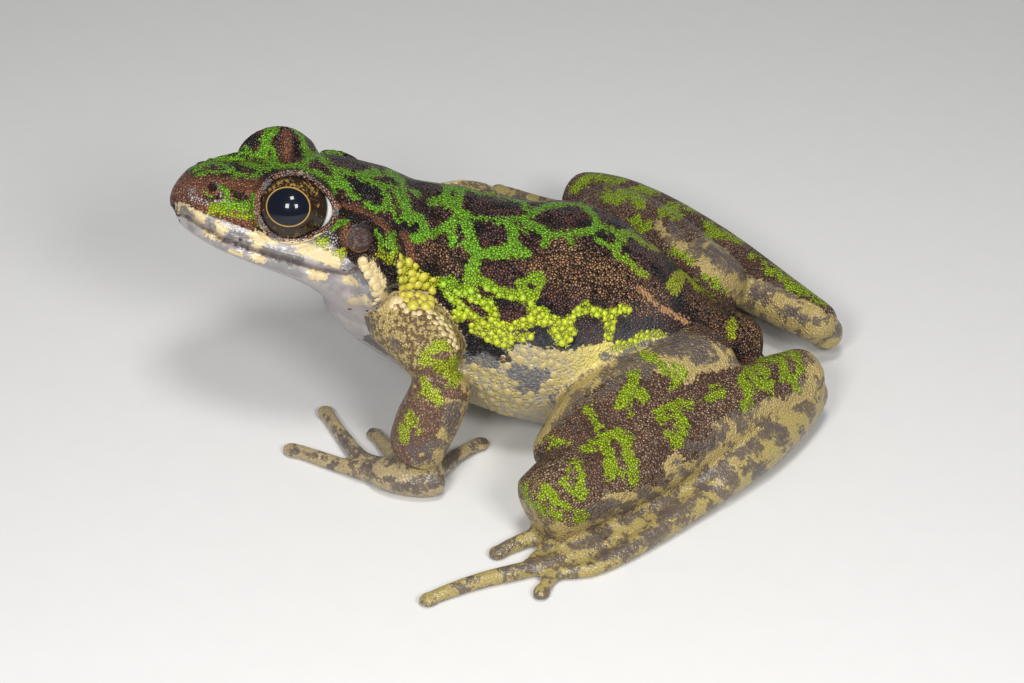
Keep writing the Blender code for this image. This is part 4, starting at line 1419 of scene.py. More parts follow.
def skin_material(settings):
    """Granular, marked, wet frog skin."""
    paint = Paint("frog_skin")
    wart = paint.layer("wart")
    finer = paint.sum(paint.layer("fine"), MIDDLE, "GREATER_THAN")
    scale = paint.sum(paint.times(finer, FINER_SHARE / settings.granule), 1.0 / settings.granule)
    far, chance, other = paint.cells(scale)
    edge = paint.gaps(scale)
    dome = paint.larger(paint.step(far, *DOME_STEP), wart)
    bead = paint.larger(paint.step(edge, *BEAD_STEP), wart)
    grain = paint.noise(*GRAIN)
    cloud = paint.noise(*CLOUD)
    mottle = paint.noise(*MOTTLE)
    patches = paint.noise(*PATCHES)
    limb = paint.layer("limb")
    ragged = paint.times(paint.less(chance, MIDDLE), RAGGED_SHARE)
    waves = paint.step(finer, *WAVE_STEP)
    ragged = paint.sum(ragged, paint.times(paint.less(cloud, MIDDLE), waves))
    lace = paint.times(paint.less(mottle, LACE_LEVEL), paint.times(limb, LACE_SHARE))
    ragged = paint.sum(ragged, lace)

    def mask(name, soft=SOFT_EDGE):
        return paint.step(paint.sum(paint.layer(name), ragged), -soft, soft)

    smooth = paint.layer("smooth")
    rusty = paint.layer("rust")
    flank = paint.layer("flank")
    tone = paint.mix(paint.step(chance, *PURPLE_STEP), settings.brown, PURPLE)
    dusk = paint.times(paint.step(cloud, *DUSK_STEP), paint.step(limb, *LIMB_DUSK_STEP))
    tone = paint.mix(dusk, tone, settings.dark)
    tone = paint.mix(paint.times(flank, FLANK_DARK), tone, SLATE_DARK)
    tan = paint.mix(limb, settings.tan, LEG_TAN)
    tone = paint.mix(paint.times(paint.layer("tan"), paint.step(other, *TAN_STEP)), tone, tan)
    tone = paint.mix(paint.times(rusty, paint.step(other, *RUST_STEP)), tone, RUST)
    tone = paint.mix(paint.layer("ash"), tone, ASH)
    tone = paint.mix(paint.times(paint.layer("lid"), LID_TINT), tone, LID)
    gap = paint.mix(paint.times(rusty, RUST_GAPS), settings.dark, settings.brown)
    gap = paint.mix(paint.times(flank, FLANK_GAPS), gap, SLATE)
    tone = paint.mix(paint.times(paint.layer("dun"), DUN_TINT), tone, DUN)
    gap = paint.mix(paint.times(paint.layer("dun"), DUN_GAPS), gap, LIMB_BROWN)
    gap = paint.mix(paint.times(limb, LIMB_GAPS), gap, LIMB_BROWN)
    granular = paint.mix(bead, gap, tone)

    jaw_tone = paint.mix(paint.step(cloud, *JAW_CLOUD_STEP), JAW_PALE, JAW_GRAY)
    jaw_tone = paint.mix(paint.layer("throat"), jaw_tone, settings.throat)
    colour = paint.mix(paint.step(paint.sum(paint.layer("jaw"), ragged), *JAW_STEP), granular, jaw_tone)

    pale_mask = mask("pale")
    # On the trunk the cream turns darker and yellower, the darkness being painted shade of the belly.
    pale = paint.mix(paint.layer("trunk"), settings.cream, SHADED_TRUNK_PALE)
    pale = paint.mix(paint.layer("yellow"), pale, LEMON)
    bead_far, _, _ = paint.cells(1.0 / BEAD_SIZE)
    between = paint.times(paint.step(bead_far, *BETWEEN_STEP), paint.layer("beads"))
    pale = paint.mix(paint.times(between, BETWEEN_TINT), pale, SLATE_PALE)
    marble = paint.times(paint.step(cloud, *MARBLE_STEP), flank)
    pale = paint.mix(paint.times(marble, MARBLE_TINT), pale, SLATE_PALE)
    pale = paint.mix(limb, pale, LIMB_PALE)
    pale = paint.mix(paint.layer("foot"), pale, FOOT_PALE)
    pale = paint.mix(paint.layer("hand"), pale, HAND_PALE)
    pale = paint.mix(paint.layer("gold"), pale, GOLD_WART)
    pale = paint.mix(paint.layer("throat"), pale, settings.throat)
    pale = paint.mix(paint.step(grain, *PALE_GRAIN_STEP), pale, settings.brown)
    flecks = paint.sum(paint.noise(*FLECKS), paint.times(cloud, FLECK_CLOUDS))
    pale = paint.mix(paint.times(paint.step(flecks, *FLECK_STEP), paint.layer("mottle")), pale, SPECK)
    patchy = paint.less(patches, MIDDLE)
    patchy = paint.sum(patchy, paint.times(paint.less(mottle, MIDDLE), PATCH_RAGGED))
    patchy = paint.sum(patchy, paint.times(paint.layer("patch"), PATCH_BIAS))
    patch_tone = paint.mix(paint.step(chance, *PATCH_LIGHT_STEP), LIMB_GRAY, pale)
    patchy = paint.times(paint.step(patchy, *PATCH_STEP), paint.step(paint.layer("patch"), *PATCHED_STEP))
    pale = paint.mix(patchy, pale, patch_tone)
    pits = paint.times(paint.step(edge, *PIT_STEP), limb)
    pale = paint.mix(pits, pale, LIMB_BROWN)
    drab = paint.step(paint.sum(paint.layer("drab"), paint.times(ragged, DRAB_RAGGED)), *DRAB_STEP)
    drab_tone = paint.mix(paint.step(other, *DRAB_TAN_STEP), granular, DRAB_TAN)
    pale = paint.mix(drab, pale, paint.mix(bead, LIMB_BROWN, drab_tone))
    colour = paint.mix(pale_mask, colour, pale)
    blotch = paint.mix(limb, settings.gray, LIMB_GRAY)
    blotch = paint.mix(paint.times(paint.step(chance, *BLOTCH_LIGHT_STEP), BLOTCH_LIGHT), blotch, pale)
    colour = paint.mix(paint.times(mask("gray", BLOTCH_SOFT_EDGE), BLOTCH_TINT), colour, blotch)
    colour = paint.mix(mask("line"), colour, settings.tan)
    colour = paint.mix(paint.times(mask("black"), BLACK_TINT), colour, BLACK)

    bright = paint.mix(paint.layer("lime"), settings.green, settings.lime)
    bright = paint.mix(paint.step(chance, *NET_BROWN_STEP), bright, settings.brown)
    shade = paint.mix(NET_SHADE, bright, paint.mix(flank, settings.dark, SLATE))
    net = paint.mix(paint.larger(paint.step(edge, *NET_BEAD_STEP), wart), shade, bright)
    colour = paint.mix(mask("net"), colour, net)
    # Painted shade: a dark line in the groove of the mouth.
    colour = paint.mix(paint.step(paint.layer("seam_shade"), *SEAM_SHADE_STEP), colour, SPECK)
    spot_far, spot_chance, _ = paint.cells(1.0 / SPECK_SIZE)
    spots = paint.times(paint.step(spot_far, *SPOT_STEP), paint.step(spot_chance, *SPOT_CHANCE_STEP))
    spots = paint.times(spots, smooth)
    colour = paint.mix(spots, colour, SPECK)
    # Painted shade: the foot of each wart is darkened towards slate where its dome meets the skin, together
    # with the gray skin between the warts.
    skirt_shade = paint.times(wart, paint.step(paint.layer("crown"), *SKIRT_SHADE_STEP))
    colour = paint.mix(paint.times(skirt_shade, SKIRT_SHADE_TINT), colour, SLATE)

    flat = paint.larger(smooth, paint.times(pale_mask, PALE_FLATNESS))
    shine = paint.larger(paint.times(bead, BEAD_SHINE), flat)
    paint.feed(paint.shader.inputs["Base Color"], colour)
    paint.feed(paint.shader.inputs["Specular IOR Level"], paint.step(shine, *SPECULAR_STEP))
    paint.feed(paint.shader.inputs["Coat Weight"], paint.step(shine, 0.0, 1.0, 0.0, settings.wetness))
    paint.fix(SKIN_GLOSS)
    rough = paint.times(paint.step(flat, *FLAT_RELIEF_STEP), paint.step(wart, *WART_RELIEF_STEP))
    height = paint.times(dome, rough)
    height = paint.sum(height, paint.times(grain, GRAIN_RELIEF))
    paint.relief(height, GRANULE_DEPTH)
    return paint.material


# The eye's material: flecks above and below the pupil, the ring round the pupil and the pale rear corner.
EYE_TOP_STEP = (-0.4, 0.9, 0.0, 0.09)
EYE_FOOT_STEP = (-0.45, -0.85, 0.0, 0.06)
EYE_FLECK_STEP = (0.58, 0.64)
EYE_THREAD_STEP = (0.42, 0.58)
EYE_FLECK_TINT = 0.75
IRIS_RIM_STEP = (3.45, 3.85)
RING_INNER_STEP = (0.99, 1.02)
RING_OUTER_STEP = (1.085, 1.05)
PUPIL_STEP = (1.02, 0.99)
CORNER_STEP = (-0.06, 0.06)
EYE_GLOSS = {
    "Roughness": 0.25,
    "Specular IOR Level": 0.06,
    "Coat Weight": 1.0,
    "Coat IOR": 1.41,
    "Coat Roughness": 0.01,
}


def eye_material(settings):
    """Black pupil in a thin gold ring, a dark iris with gold flecks, and a pale corner."""
    paint = Paint("frog_eye")
    pupil = paint.layer("pupil")
    across = paint.layer("reach")
    above = paint.layer("above")
    corner = paint.layer("corner")
    flecks = paint.noise(*EYE_FLECKS)
    threads = paint.noise(*EYE_THREADS)
    high = paint.sum(paint.step(above, *EYE_TOP_STEP), paint.step(above, *EYE_FOOT_STEP))
    fleck = paint.step(paint.sum(flecks, high), *EYE_FLECK_STEP)
    fleck = paint.times(fleck, paint.step(threads, *EYE_THREAD_STEP))
    iris = paint.mix(paint.times(fleck, EYE_FLECK_TINT), settings.iris, settings.gold)
    iris = paint.mix(paint.step(across, *IRIS_RIM_STEP), iris, BLACK)
    ring = paint.times(paint.step(pupil, *RING_INNER_STEP), paint.step(pupil, *RING_OUTER_STEP))
    iris = paint.mix(ring, iris, settings.gold)
    colour = paint.mix(paint.step(pupil, *PUPIL_STEP), iris, settings.pupil)
    colour = paint.mix(paint.step(corner, *CORNER_STEP), colour, settings.white)
    paint.feed(paint.shader.inputs["Base Color"], colour)
    paint.fix(EYE_GLOSS)
    return paint.material


# The eardrum's material and form.
DRUM_PALE = (0.036, 0.023, 0.021)
DRUM_CLOUD_STEP = (0.42, 0.58)
DRUM_MIDDLE_STEP = (0.70, 0.15, 0.0, 0.8)
DRUM_RIM_STEP = (1.40, 1.68, 0.0, 0.7)
DRUM_FORE_STEP = (0.2, 0.9)
DRUM_SPOT_STEP = (0.60, 0.68, 0.0, 0.6)
DRUM_SPOT_FORE_STEP = (-0.2, 0.4)
DRUM_GRAIN_DEPTH = 0.00006
DRUM_THICKNESS = 0.15
DRUM_DISH = 0.10
DRUM_DISH_EDGE = (-1.5, -0.2)
DRUM_KNOB = (0.04, 0.0, 0.4)
DRUM_SINK = 0.18
DRUM_SEGMENTS = 48
DRUM_RINGS = 32
DRUM_GLOSS = {
    "Roughness": 0.6,
    "Specular IOR Level": 0.12,
    "Coat Weight": 0.12,
    "Coat Roughness": 0.12,
}


def drum_material(settings):
    """Thin brown skin of the eardrum, darkest in the middle."""
    paint = Paint("eardrum_skin")
    patch = paint.noise(*DRUM_CLOUD)
    middle = paint.layer("reach")
    colour = paint.mix(paint.step(patch, *DRUM_CLOUD_STEP), settings.drum, DRUM_PALE)
    colour = paint.mix(paint.step(middle, *DRUM_MIDDLE_STEP), colour, SPECK)
    fore = paint.layer("fore")
    rim = paint.step(middle, *DRUM_RIM_STEP)
    rim = paint.times(rim, paint.step(paint.sum(fore, patch), *DRUM_FORE_STEP))
    colour = paint.mix(rim, colour, RUST)
    spot = paint.times(paint.step(patch, *DRUM_SPOT_STEP), paint.step(fore, *DRUM_SPOT_FORE_STEP))
    colour = paint.mix(spot, colour, RUST)
    paint.feed(paint.shader.inputs["Base Color"], colour)
    paint.fix(DRUM_GLOSS)
    paint.relief(paint.noise(*DRUM_GRAIN), DRUM_GRAIN_DEPTH)
    return paint.material


EYE_SEGMENTS = 96
EYE_RINGS = 64
CORNEA_RISE = 0.22
CORNEA_EDGE = (-3.0, -0.5)
STRETCH_EDGE = (3.1, 4.1)
STRETCH_FROM = -0.5
PUPIL_LEAD = 0.36
BEHIND = 9.0
WHITE_LEAD = 1.1
WHITE_HEIGHT = 0.86
WHITE_RADIUS = 4.75


def eye_piece(side_name, settings):
    """One eyeball with its cornea and its pale rear corner."""
    side = SIDES[side_name]
    axis = eye_axis(side)
    centre = packed(HEAD @ sided(EYE_PLACE, side))
    turn = HEAD.to_3x3() @ axis.to_track_quat("Z", "Y").to_matrix()
    eye = ball("eyeball_" + side_name, EYE_SEGMENTS, EYE_RINGS, EYE_RADIUS * MM)
    eye.data.transform(Matrix.Translation(centre) @ turn.to_4x4())
    eye.matrix_world = Matrix.Identity(MATRIX_SIZE)
    places = drawn(places_of(eye.data))
    local = in_head(places)
    radius, height, angle, flat = around_eye(local, side)
    swell = CORNEA_RISE * ramp(-radius, *CORNEA_EDGE) * (height > 0.0)
    stretch = corner_reach(angle) * ramp(radius, *STRETCH_EDGE) * (height > STRETCH_FROM)
    push = flat / np.maximum(radius, AXIS_GUARD)[:, None] * stretch[:, None]
    push += np.array(axis) * swell[:, None]
    set_drawn(eye.data, places + push @ HEAD_WAYS.T)
    rearwards = radius * np.cos(angle)
    upwards = radius * np.sin(angle)
    wide = settings.pupil_width / MM / 2.0
    tall = settings.pupil_height / MM / 2.0
    behind = np.where(height > 0.0, 1.0, BEHIND)
    add_layer(eye.data, "pupil", np.hypot((rearwards + PUPIL_LEAD) / wide, upwards / tall) * behind)
    add_layer(eye.data, "reach", radius)
    add_layer(eye.data, "above", upwards / EYE_RADIUS)
    add_layer(eye.data, "corner", np.hypot(rearwards + WHITE_LEAD, upwards * WHITE_HEIGHT) - WHITE_RADIUS)
    eye.data.shade_smooth()
    eye.data.materials.append(eye_material(settings))
    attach(eye, "root")
    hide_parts("eye_" + side_name)
    return eye


def face_outwards(mesh):
    """Turns every face of a closed mesh to the outside."""
    shape = bmesh.new()
    shape.from_mesh(mesh)
    bmesh.ops.recalc_face_normals(shape, faces=shape.faces)
    shape.to_mesh(mesh)
    shape.free()


# The lids' lumps, each a share and the size of its noise, and their markings.
LID_LUMPS = 0.05
LID_LUMP_SIZE = 0.9
LID_LUMP_SEED = SEED + 3
LID_THIN_BELOW = (0.25, -math.pi / 2.0, 0.9)
LID_GRAY_SIZE = 1.6
LID_GRAY_SEED = SEED + 4
LID_GRAY_LEVEL = 0.45
LID_ASH_SIZE = 1.1
LID_ASH_SEED = SEED + 5
LID_ASH_EDGE = (0.4, 1.2)
LID_ASH_SHARE = 0.6
LID_PALE_TO = -0.3
LID_PALE_ACROSS = 0.35
LID_PALE_ANGLE = -1.4
LID_PALE_DEPTH = 0.5
LID_PALE_NARROW = 1.6


def lid_piece(side_name, material):
    """Both lids of one eye, as one fleshy ring that hugs the eyeball."""
    side = SIDES[side_name]
    bpy.ops.object.select_all(action="DESELECT")
    bpy.ops.mesh.primitive_torus_add(
        major_segments=LID_STEPS, minor_segments=LID_SIDES,
        major_radius=LID_RADIUS * MM, minor_radius=LID_WIDTH * MM)
    lid = bpy.context.object
    lid.name = "lids_" + side_name
    places = places_of(lid.data) / MM
    angle = np.arctan2(places[:, 1], places[:, 0])
    across = np.hypot(places[:, 0], places[:, 1]) - LID_RADIUS
    lumps = 1.0 + LID_LUMPS * smooth_noise(places, LID_LUMP_SIZE, LID_LUMP_SEED)
    thick = 1.0 - ridge(angle, *LID_THIN_BELOW)
    radius = LID_RADIUS + across * np.where(across > 0.0, lumps, 1.0) + corner_reach(angle)
    height = LID_HEIGHT + places[:, 2] * LID_THICKNESS / LID_WIDTH * lumps * thick
    rearwards, upwards, axis = eye_frame(side)
    local = np.array(sided(EYE_PLACE, side)) + height[:, None] * axis
    local += radius[:, None] * (np.cos(angle)[:, None] * rearwards + np.sin(angle)[:, None] * upwards)
    drawn_places = from_head(local)
    set_drawn(lid.data, drawn_places)
    face_outwards(lid.data)
    names = np.full(len(local), "head")
    layers = painted_layers(drawn_places, normals_of(lid.data), names)
    layers["net"][:] = FAR_OUTSIDE
    layers["black"][:] = FAR_OUTSIDE
    blotches = smooth_noise(drawn_places, LID_GRAY_SIZE, LID_GRAY_SEED)
    layers["gray"] = blotches * MIDDLE - LID_GRAY_LEVEL
    pale = LID_PALE_DEPTH - np.abs(across - LID_PALE_ACROSS) * LID_PALE_NARROW
    pale -= (angle - LID_PALE_ANGLE) ** 2 * LID_PALE_DEPTH
    layers["pale"] = np.where(angle < LID_PALE_TO, pale, FAR_OUTSIDE)
    layers["jaw"][:] = 0.0
    ash = smooth_noise(drawn_places, LID_ASH_SIZE, LID_ASH_SEED)
    layers["ash"] = ramp(ash, *LID_ASH_EDGE) * LID_ASH_SHARE
    layers["lid"] = np.ones(len(local))
    for name, values in layers.items():
        add_layer(lid.data, name, values)
    lid.data.shade_smooth()
    lid.data.materials.append(material)
    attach(lid, "root")
    return lid


# Warts that are seen one by one: the radius in millimetres and the pixel of each.
GOLD_WARTS = (
    (0.70, 414, 275), (0.78, 426, 279), (0.70, 420, 287), (0.62, 428, 287), (0.52, 408, 280),
    (0.56, 410, 292), (0.82, 415, 302), (0.80, 426, 303), (0.50, 421, 295), (0.56, 404, 292),
    (0.50, 404, 272), (0.50, 435, 282),
)
CREAM_WARTS = (
    (0.72, 364, 263), (0.78, 369, 267), (0.70, 366, 270), (0.80, 373, 274), (0.72, 370, 277),
    (0.80, 377, 281), (0.70, 381, 279), (0.82, 380, 287), (0.70, 375, 286), (0.76, 383, 293),
    (0.62, 379, 294), (0.60, 384, 286), (0.80, 393, 297), (0.78, 399, 296), (0.50, 380, 303),
    (0.55, 388, 304), (0.40, 374, 307), (0.60, 432, 310),
)

# Where the other warts are scattered.
FLANK_FIELD = (
    (400, 262), (440, 282), (470, 262), (500, 290), (560, 310), (640, 300), (650, 340), (600, 346),
    (560, 352), (520, 345), (470, 360), (440, 330), (400, 300),
)
BELLY_FIELD = (
    (452, 352), (480, 356), (515, 344), (566, 346), (560, 372), (536, 400), (510, 416), (476, 412),
    (455, 392),
)
ARM_TOP = ((384, 300), (428, 303), (452, 326), (462, 352), (453, 346), (432, 322), (408, 312), (384, 307))

# Each kind of scattered wart: its smallest and largest radius, its height and its spacing.
WART_KINDS = {
    "shoulder": (0.46, 0.74, 0.74, 0.70),
    "belly": (0.46, 0.86, 0.46, 0.78),
    "arm": (0.34, 0.56, 0.52, 0.68),
    "net": (0.30, 0.52, 0.74, 0.80),
}
WART_TRIES = 3000
WART_SINK = 0.28
WART_SEGMENTS = 8
WART_RINGS = 6
WART_WIDTHS = (0.80, 1.0)
WART_HEIGHTS = (0.9, 1.1)
GOLD_HEIGHT = 0.85
CREAM_HEIGHT = 0.50
PIXEL_REACH = 4.0
NOT_BELOW = -0.85
NOT_UNDER_SHOULDER = -0.2
ARM_UPSIDE = 0.2
IN_NET = 0.12
IN_LIME = 0.4
IN_PALE = 0.1
OFF_GRAY = 0.1
GOLD_TINT = 0.9
NET_DEPTH = 0.3
PALE_DEPTH = 2.0
CROWN_EDGE = (0.25, 0.85)
OFF_WARTS = (
    "limb", "mottle", "patch", "beads", "flank", "throat", "drab", "foot", "hand", "smooth", "jaw", "seam_shade",
)


class Anchors:
    """Places on the finished skin where warts can stand."""

    def __init__(self, skin):
        self.places = places_of(skin.data)
        self.drawn = drawn(self.places)
        self.normals = normals_of(skin.data)
        self.canvas = Canvas(self.drawn)
        self.layers = {}
        for layer in skin.data.attributes:
            if layer.data_type == "FLOAT" and layer.domain == "POINT":
                values = np.zeros(len(self.places))
                layer.data.foreach_get("value", values)
                self.layers[layer.name] = values
        self.chosen = []

    def seen_at(self, x, y):
        """The skin point that the camera sees at a pixel."""
        near = np.hypot(self.canvas.x - x, self.canvas.y - y) < PIXEL_REACH
        return int(np.argmin(np.where(near, self.canvas.scale, np.inf)))

    def nearest(self, place):
        """The skin point nearest to a place of the drawing frame."""
        return int(np.argmin(((self.drawn - place) ** 2).sum(1)))

    def scatter(self, where, kind, rng):
        """Fills some of the skin with warts of one kind that hardly overlap."""
        small, large, tall, spacing = WART_KINDS[kind]
        candidates = np.flatnonzero(where)
        rng.shuffle(candidates)
        for index in candidates[:WART_TRIES]:
            radius = rng.uniform(small, large)
            if self.chosen:
                taken = self.drawn[[wart[0] for wart in self.chosen]]
                sizes = np.array([wart[1] for wart in self.chosen])
                gap = np.linalg.norm(taken - self.drawn[index], axis=1) - (sizes + radius) * spacing
                if gap.min() < 0.0:
                    continue
            self.chosen.append((int(index), radius, tall, kind))


def warts_piece(skin, material):
    """Domed warts of the jaw, shoulders, arms, flanks and belly, joined into one mesh."""
    rng = np.random.default_rng(SEED)
    anchors = Anchors(skin)
    layers = anchors.layers
    head = ((layers["fine"] > MIDDLE) & (layers["limb"] < MIDDLE))[:, None]
    local = in_head(anchors.drawn)
    flipped = np.where(head, from_head(local * MIRROR), anchors.drawn * MIRROR)
    left = np.where(head[:, 0], local[:, 1], anchors.drawn[:, 1]) < 0.0
    canvas = Canvas(np.where(left[:, None], anchors.drawn, flipped))
    for kind, tall, warts in (("gold", GOLD_HEIGHT, GOLD_WARTS), ("cream", CREAM_HEIGHT, CREAM_WARTS)):
        for radius, x, y in warts:
            index = anchors.seen_at(x, y)
            anchors.chosen.append((index, radius, tall, kind))
            anchors.chosen.append((anchors.nearest(flipped[index]), radius, tall, kind))
    up = anchors.normals[:, 2]
    trunk = (up > NOT_BELOW) & (layers["limb"] < MIDDLE)
    net = trunk & (canvas.inside_patch(FLANK_FIELD) > 0.0)
    net &= (layers["net"] > IN_NET) & (layers["lime"] > IN_LIME)
    arm = (layers["limb"] > MIDDLE) & (canvas.inside_patch(ARM_TOP) > 0.0) & (up > ARM_UPSIDE)
    belly = trunk & (canvas.inside_patch(BELLY_FIELD) > 0.0)
    belly &= (layers["pale"] > IN_PALE) & (layers["gray"] < OFF_GRAY)
    shoulder = (canvas.inside_patch(SHOULDER_FIELD) > 0.0) & (up > NOT_UNDER_SHOULDER)
    anchors.scatter(shoulder, "shoulder", rng)
    anchors.scatter(belly, "belly", rng)
    anchors.scatter(arm & ~shoulder, "arm", rng)
    anchors.scatter(net & ~shoulder, "net", rng)

    dome = ball("dome", WART_SEGMENTS, WART_RINGS, 1.0)
    dome_places = places_of(dome.data)
    dome_faces = [list(face.vertices) for face in dome.data.polygons]
    bpy.ops.object.delete()
    corners = []
    faces = []
    for index, radius, tall, _ in anchors.chosen:
        way = Vector(anchors.normals[index])
        turn = np.array(way.to_track_quat("Z", "Y").to_matrix())
        squash = np.array([1.0, rng.uniform(*WART_WIDTHS), tall * rng.uniform(*WART_HEIGHTS)])
        spin = rng.uniform(0.0, math.tau)
        around = np.array(Matrix.Rotation(spin, TURN_SIZE, "Z"))
        shape = (dome_places * squash) @ around.T @ turn.T * radius
        start = len(corners) * len(dome_places)
        foot = anchors.drawn[index] - np.array(way) * radius * WART_SINK
        corners.append((foot + shape - np.array(SHIFT)) * MM)
        faces.extend([[start + i for i in face] for face in dome_faces])
    mesh = bpy.data.meshes.new("warts")
    mesh.from_pydata(np.concatenate(corners).tolist(), [], faces)
    warts = bpy.data.objects.new("warts", mesh)
    bpy.context.scene.collection.objects.link(warts)
    owners = np.repeat([wart[0] for wart in anchors.chosen], len(dome_places))
    kinds = np.repeat([wart[3] for wart in anchors.chosen], len(dome_places))
    golden = np.isin(kinds, ("gold", "shoulder"))
    creamy = np.isin(kinds, ("cream", "arm"))
    for name, values in layers.items():
        add_layer(mesh, name, values[owners])
    add_layer(mesh, "wart", np.ones(len(owners)))
    add_layer(mesh, "gold", np.where(golden, GOLD_TINT, 0.0))
    add_layer(mesh, "net", np.where(kinds == "net", layers["net"][owners] + NET_DEPTH, FAR_OUTSIDE))
    add_layer(mesh, "pale", np.where(golden | creamy, PALE_DEPTH, layers["pale"][owners]))
    # The crown is the height up each dome, which the material uses to paint shade at the foot of each wart.
    add_layer(mesh, "crown", np.tile(ramp(dome_places[:, 2], *CROWN_EDGE), len(anchors.chosen)))
    for name in OFF_WARTS:
        add_layer(mesh, name, np.zeros(len(owners)))
    for name in ("gray", "black", "line"):
        add_layer(mesh, name, np.full(len(owners), FAR_OUTSIDE))
    mesh.shade_smooth()
    mesh.materials.append(material)
    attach(warts, "root")
    return warts


def flat_axis(node):
    """The middle of a flat node and the way that its face looks."""
    places = places_of(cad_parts[node].data)
    middle = (places.max(0) + places.min(0)) / 2.0
    _, ways = np.linalg.eigh(np.cov((places - middle).T))
    return middle, ways[:, 0]


def eardrum_piece(side_name, settings):
    """One eardrum, dished round a small middle knob."""
    node = "eardrum_" + side_name
    middle, way = flat_axis(node)
    outwards = HEAD_WAYS @ np.array([0.0, SIDES[side_name], 0.0])
    way = way * np.sign(way @ outwards)
    drum = ball("eardrum_skin_" + side_name, DRUM_SEGMENTS, DRUM_RINGS, EAR_RADIUS * MM)
    places = places_of(drum.data)
    radius = np.hypot(places[:, 0], places[:, 1]) / MM
    places[:, 2] *= DRUM_THICKNESS
    dish = -DRUM_DISH * ramp(-radius, *DRUM_DISH_EDGE) + ridge(radius, *DRUM_KNOB)
    places[:, 2] += np.where(places[:, 2] > 0.0, dish, 0.0) * MM
    set_places(drum.data, places)
    turn = Vector(way).to_track_quat("Z", "Y").to_matrix().to_4x4()
    drum.data.transform(Matrix.Translation(Vector(middle - way * DRUM_SINK * MM)) @ turn)
    add_layer(drum.data, "reach", radius)
    local = in_head(drawn(places_of(drum.data)))
    from_middle = local - local.mean(0)
    add_layer(drum.data, "fore", -(from_middle[:, 0] + from_middle[:, 2]) / EAR_RADIUS)
    drum.data.shade_smooth()
    drum.data.materials.append(drum_material(settings))
    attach(drum, "root")
    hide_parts(node)
    return drum


class FROG_OT_skin(bpy.types.Operator):
    """Builds one marked skin over all the flesh"""

    bl_idname = "frog.skin"
    bl_label = "Skin"

    def execute(self, context):
        settings = context.scene.frog_skin
        owners = Owners()
        skin = joined_flesh(settings)
        refine_head(skin, owners)
        names = owners.of(places_of(skin.data))
        sculpt_head(skin, names)
        settle(skin)
        paint(skin, names)
        skin.data.shade_smooth()
        skin.data.materials.clear()
        skin.data.materials.append(skin_material(settings))
        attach(skin, "root")
        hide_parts(*FLESH)
        return {"FINISHED"}


class FROG_OT_lids(bpy.types.Operator):
    """Builds the lids of both eyes"""

    bl_idname = "frog.lids"
    bl_label = "Lids"

    def execute(self, context):
        for side_name in SIDES:
            lid_piece(side_name, bpy.data.objects["skin"].data.materials[0])
        return {"FINISHED"}


class FROG_OT_warts(bpy.types.Operator):
    """Builds the domed warts of the jaw, shoulders, arms, flanks and belly"""

    bl_idname = "frog.warts"
    bl_label = "Warts"

    def execute(self, context):
        skin = bpy.data.objects["skin"]
        warts_piece(skin, skin.data.materials[0])
        return {"FINISHED"}


class FROG_OT_eyes(bpy.types.Operator):
    """Builds both eyes"""

    bl_idname = "frog.eyes"
    bl_label = "Eyes"

    def execute(self, context):
        for side_name in SIDES:
            eye_piece(side_name, context.scene.frog_eyes)
        return {"FINISHED"}


class FROG_OT_eardrums(bpy.types.Operator):
    """Builds both eardrums"""

    bl_idname = "frog.eardrums"
    bl_label = "Eardrums"

    def execute(self, context):
        for side_name in SIDES:
            eardrum_piece(side_name, context.scene.frog_eyes)
        return {"FINISHED"}


# The stage: where the three flashes stand and what they look at, in millimetres, and its floor and sky.
EYE_AIM = (-20.0, -5.0, 20.0)
FLASH_WIDTH = 76.0
FLASHES = {
    "flash_top": (15.0, -105.0, 345.0),
    "flash_left": (-77.0, -230.0, 205.0),
    "flash_right": (107.0, -230.0, 205.0),
}
FLOOR_LIGHTER = 1.04
FLOOR_GLOSS = {"Roughness": 0.9}
SKY_COLOUR = (0.93, 0.96, 1.0, 1.0)


def softbox(name, place, aim, width, power):
    """One square light that looks at a place."""
    data = bpy.data.lights.new(name, "AREA")
    data.shape = "SQUARE"
    data.size = width
    data.energy = power
    light = bpy.data.objects.new(name, data)
    bpy.context.scene.collection.objects.link(light)
    light.location = place
    light.rotation_euler = (aim - place).to_track_quat("-Z", "Y").to_euler()
    return light


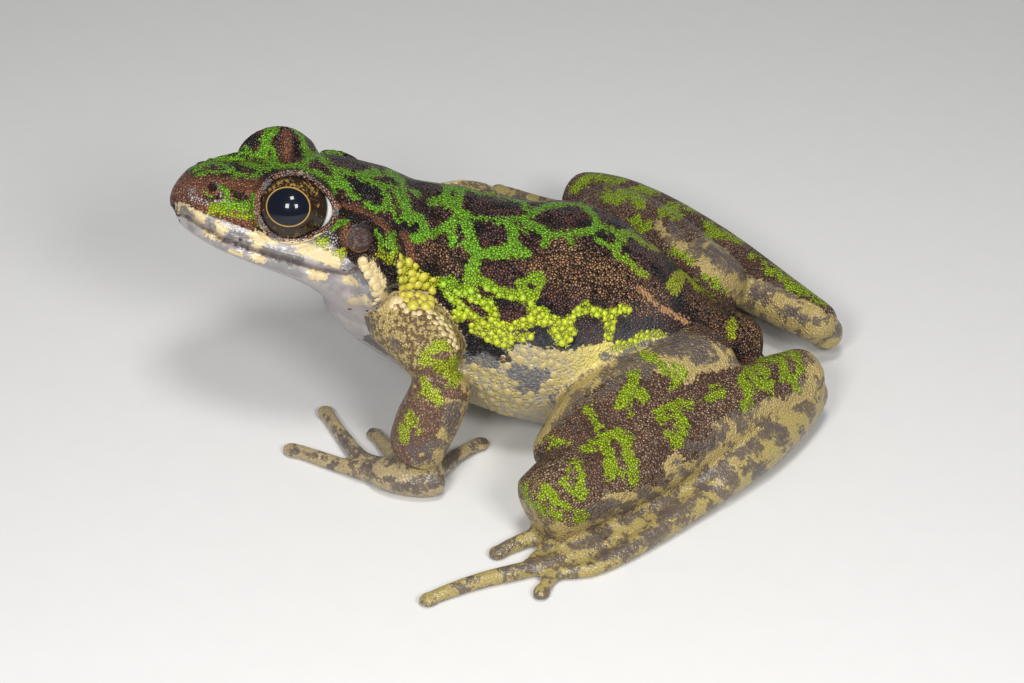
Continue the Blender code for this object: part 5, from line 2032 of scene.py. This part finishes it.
class FROG_OT_stage(bpy.types.Operator):
    """Sets up the floor, the lights and the camera"""

    bl_idname = "frog.stage"
    bl_label = "Stage"

    def execute(self, context):
        settings = context.scene.frog_stage
        bpy.ops.object.select_all(action="DESELECT")
        bpy.ops.mesh.primitive_plane_add(size=settings.floor_size)
        floor = context.object
        floor.name = "floor"
        cloth = Paint("floor_paper")
        grain = cloth.noise(*FLOOR_GRAIN)
        lighter = [min(1.0, channel * FLOOR_LIGHTER) for channel in settings.floor]
        cloth.feed(cloth.shader.inputs["Base Color"], cloth.mix(grain, tuple(settings.floor), lighter))
        cloth.fix(FLOOR_GLOSS)
        floor.data.materials.append(cloth.material)
        world = bpy.data.worlds.new("studio")
        world.use_nodes = True
        background = world.node_tree.nodes["Background"]
        background.inputs["Color"].default_value = SKY_COLOUR
        background.inputs["Strength"].default_value = settings.sky
        context.scene.world = world
        aim = packed(EYE_AIM)
        for name, place in FLASHES.items():
            softbox(name, packed(place), aim, FLASH_WIDTH * MM, settings.flash)
        data = bpy.data.cameras.new("camera")
        data.lens = LENS
        data.sensor_width = SENSOR
        camera = bpy.data.objects.new("camera", data)
        context.scene.collection.objects.link(camera)
        camera.location = packed(CAMERA_PLACE)
        camera.rotation_euler = (packed(CAMERA_TARGET) - camera.location).to_track_quat("-Z", "Y").to_euler()
        context.scene.camera = camera
        context.scene.view_settings.view_transform = "Standard"
        return {"FINISHED"}


class FROG_PT_panel(bpy.types.Panel):
    """Lists the pieces in the sidebar"""

    bl_label = "Frog"
    bl_idname = "FROG_PT_panel"
    bl_space_type = "VIEW_3D"
    bl_region_type = "UI"
    bl_category = "Frog"

    def draw(self, context):
        for operator in OPERATORS:
            self.layout.operator(operator.bl_idname)
        for group in GROUPS:
            settings = getattr(context.scene, group)
            for name in type(settings).__annotations__:
                self.layout.prop(settings, name)


GROUPS = {"frog_skin": FrogSkinSettings, "frog_eyes": FrogEyeSettings, "frog_stage": FrogStageSettings}
OPERATORS = (FROG_OT_skin, FROG_OT_lids, FROG_OT_warts, FROG_OT_eyes, FROG_OT_eardrums, FROG_OT_stage)
CLASSES = (*GROUPS.values(), *OPERATORS, FROG_PT_panel)


def register():
    """Adds the classes and the scene's settings."""
    for item in CLASSES:
        bpy.utils.register_class(item)
    for name, group in GROUPS.items():
        setattr(bpy.types.Scene, name, bpy.props.PointerProperty(type=group))


def unregister():
    """Takes them away again."""
    for name in GROUPS:
        delattr(bpy.types.Scene, name)
    for item in reversed(CLASSES):
        bpy.utils.unregister_class(item)


def main():
    """Builds all the pieces."""
    register()
    bpy.ops.frog.skin()
    bpy.ops.frog.lids()
    bpy.ops.frog.warts()
    bpy.ops.frog.eyes()
    bpy.ops.frog.eardrums()
    bpy.ops.frog.stage()


if __name__ == "__main__":
    main()
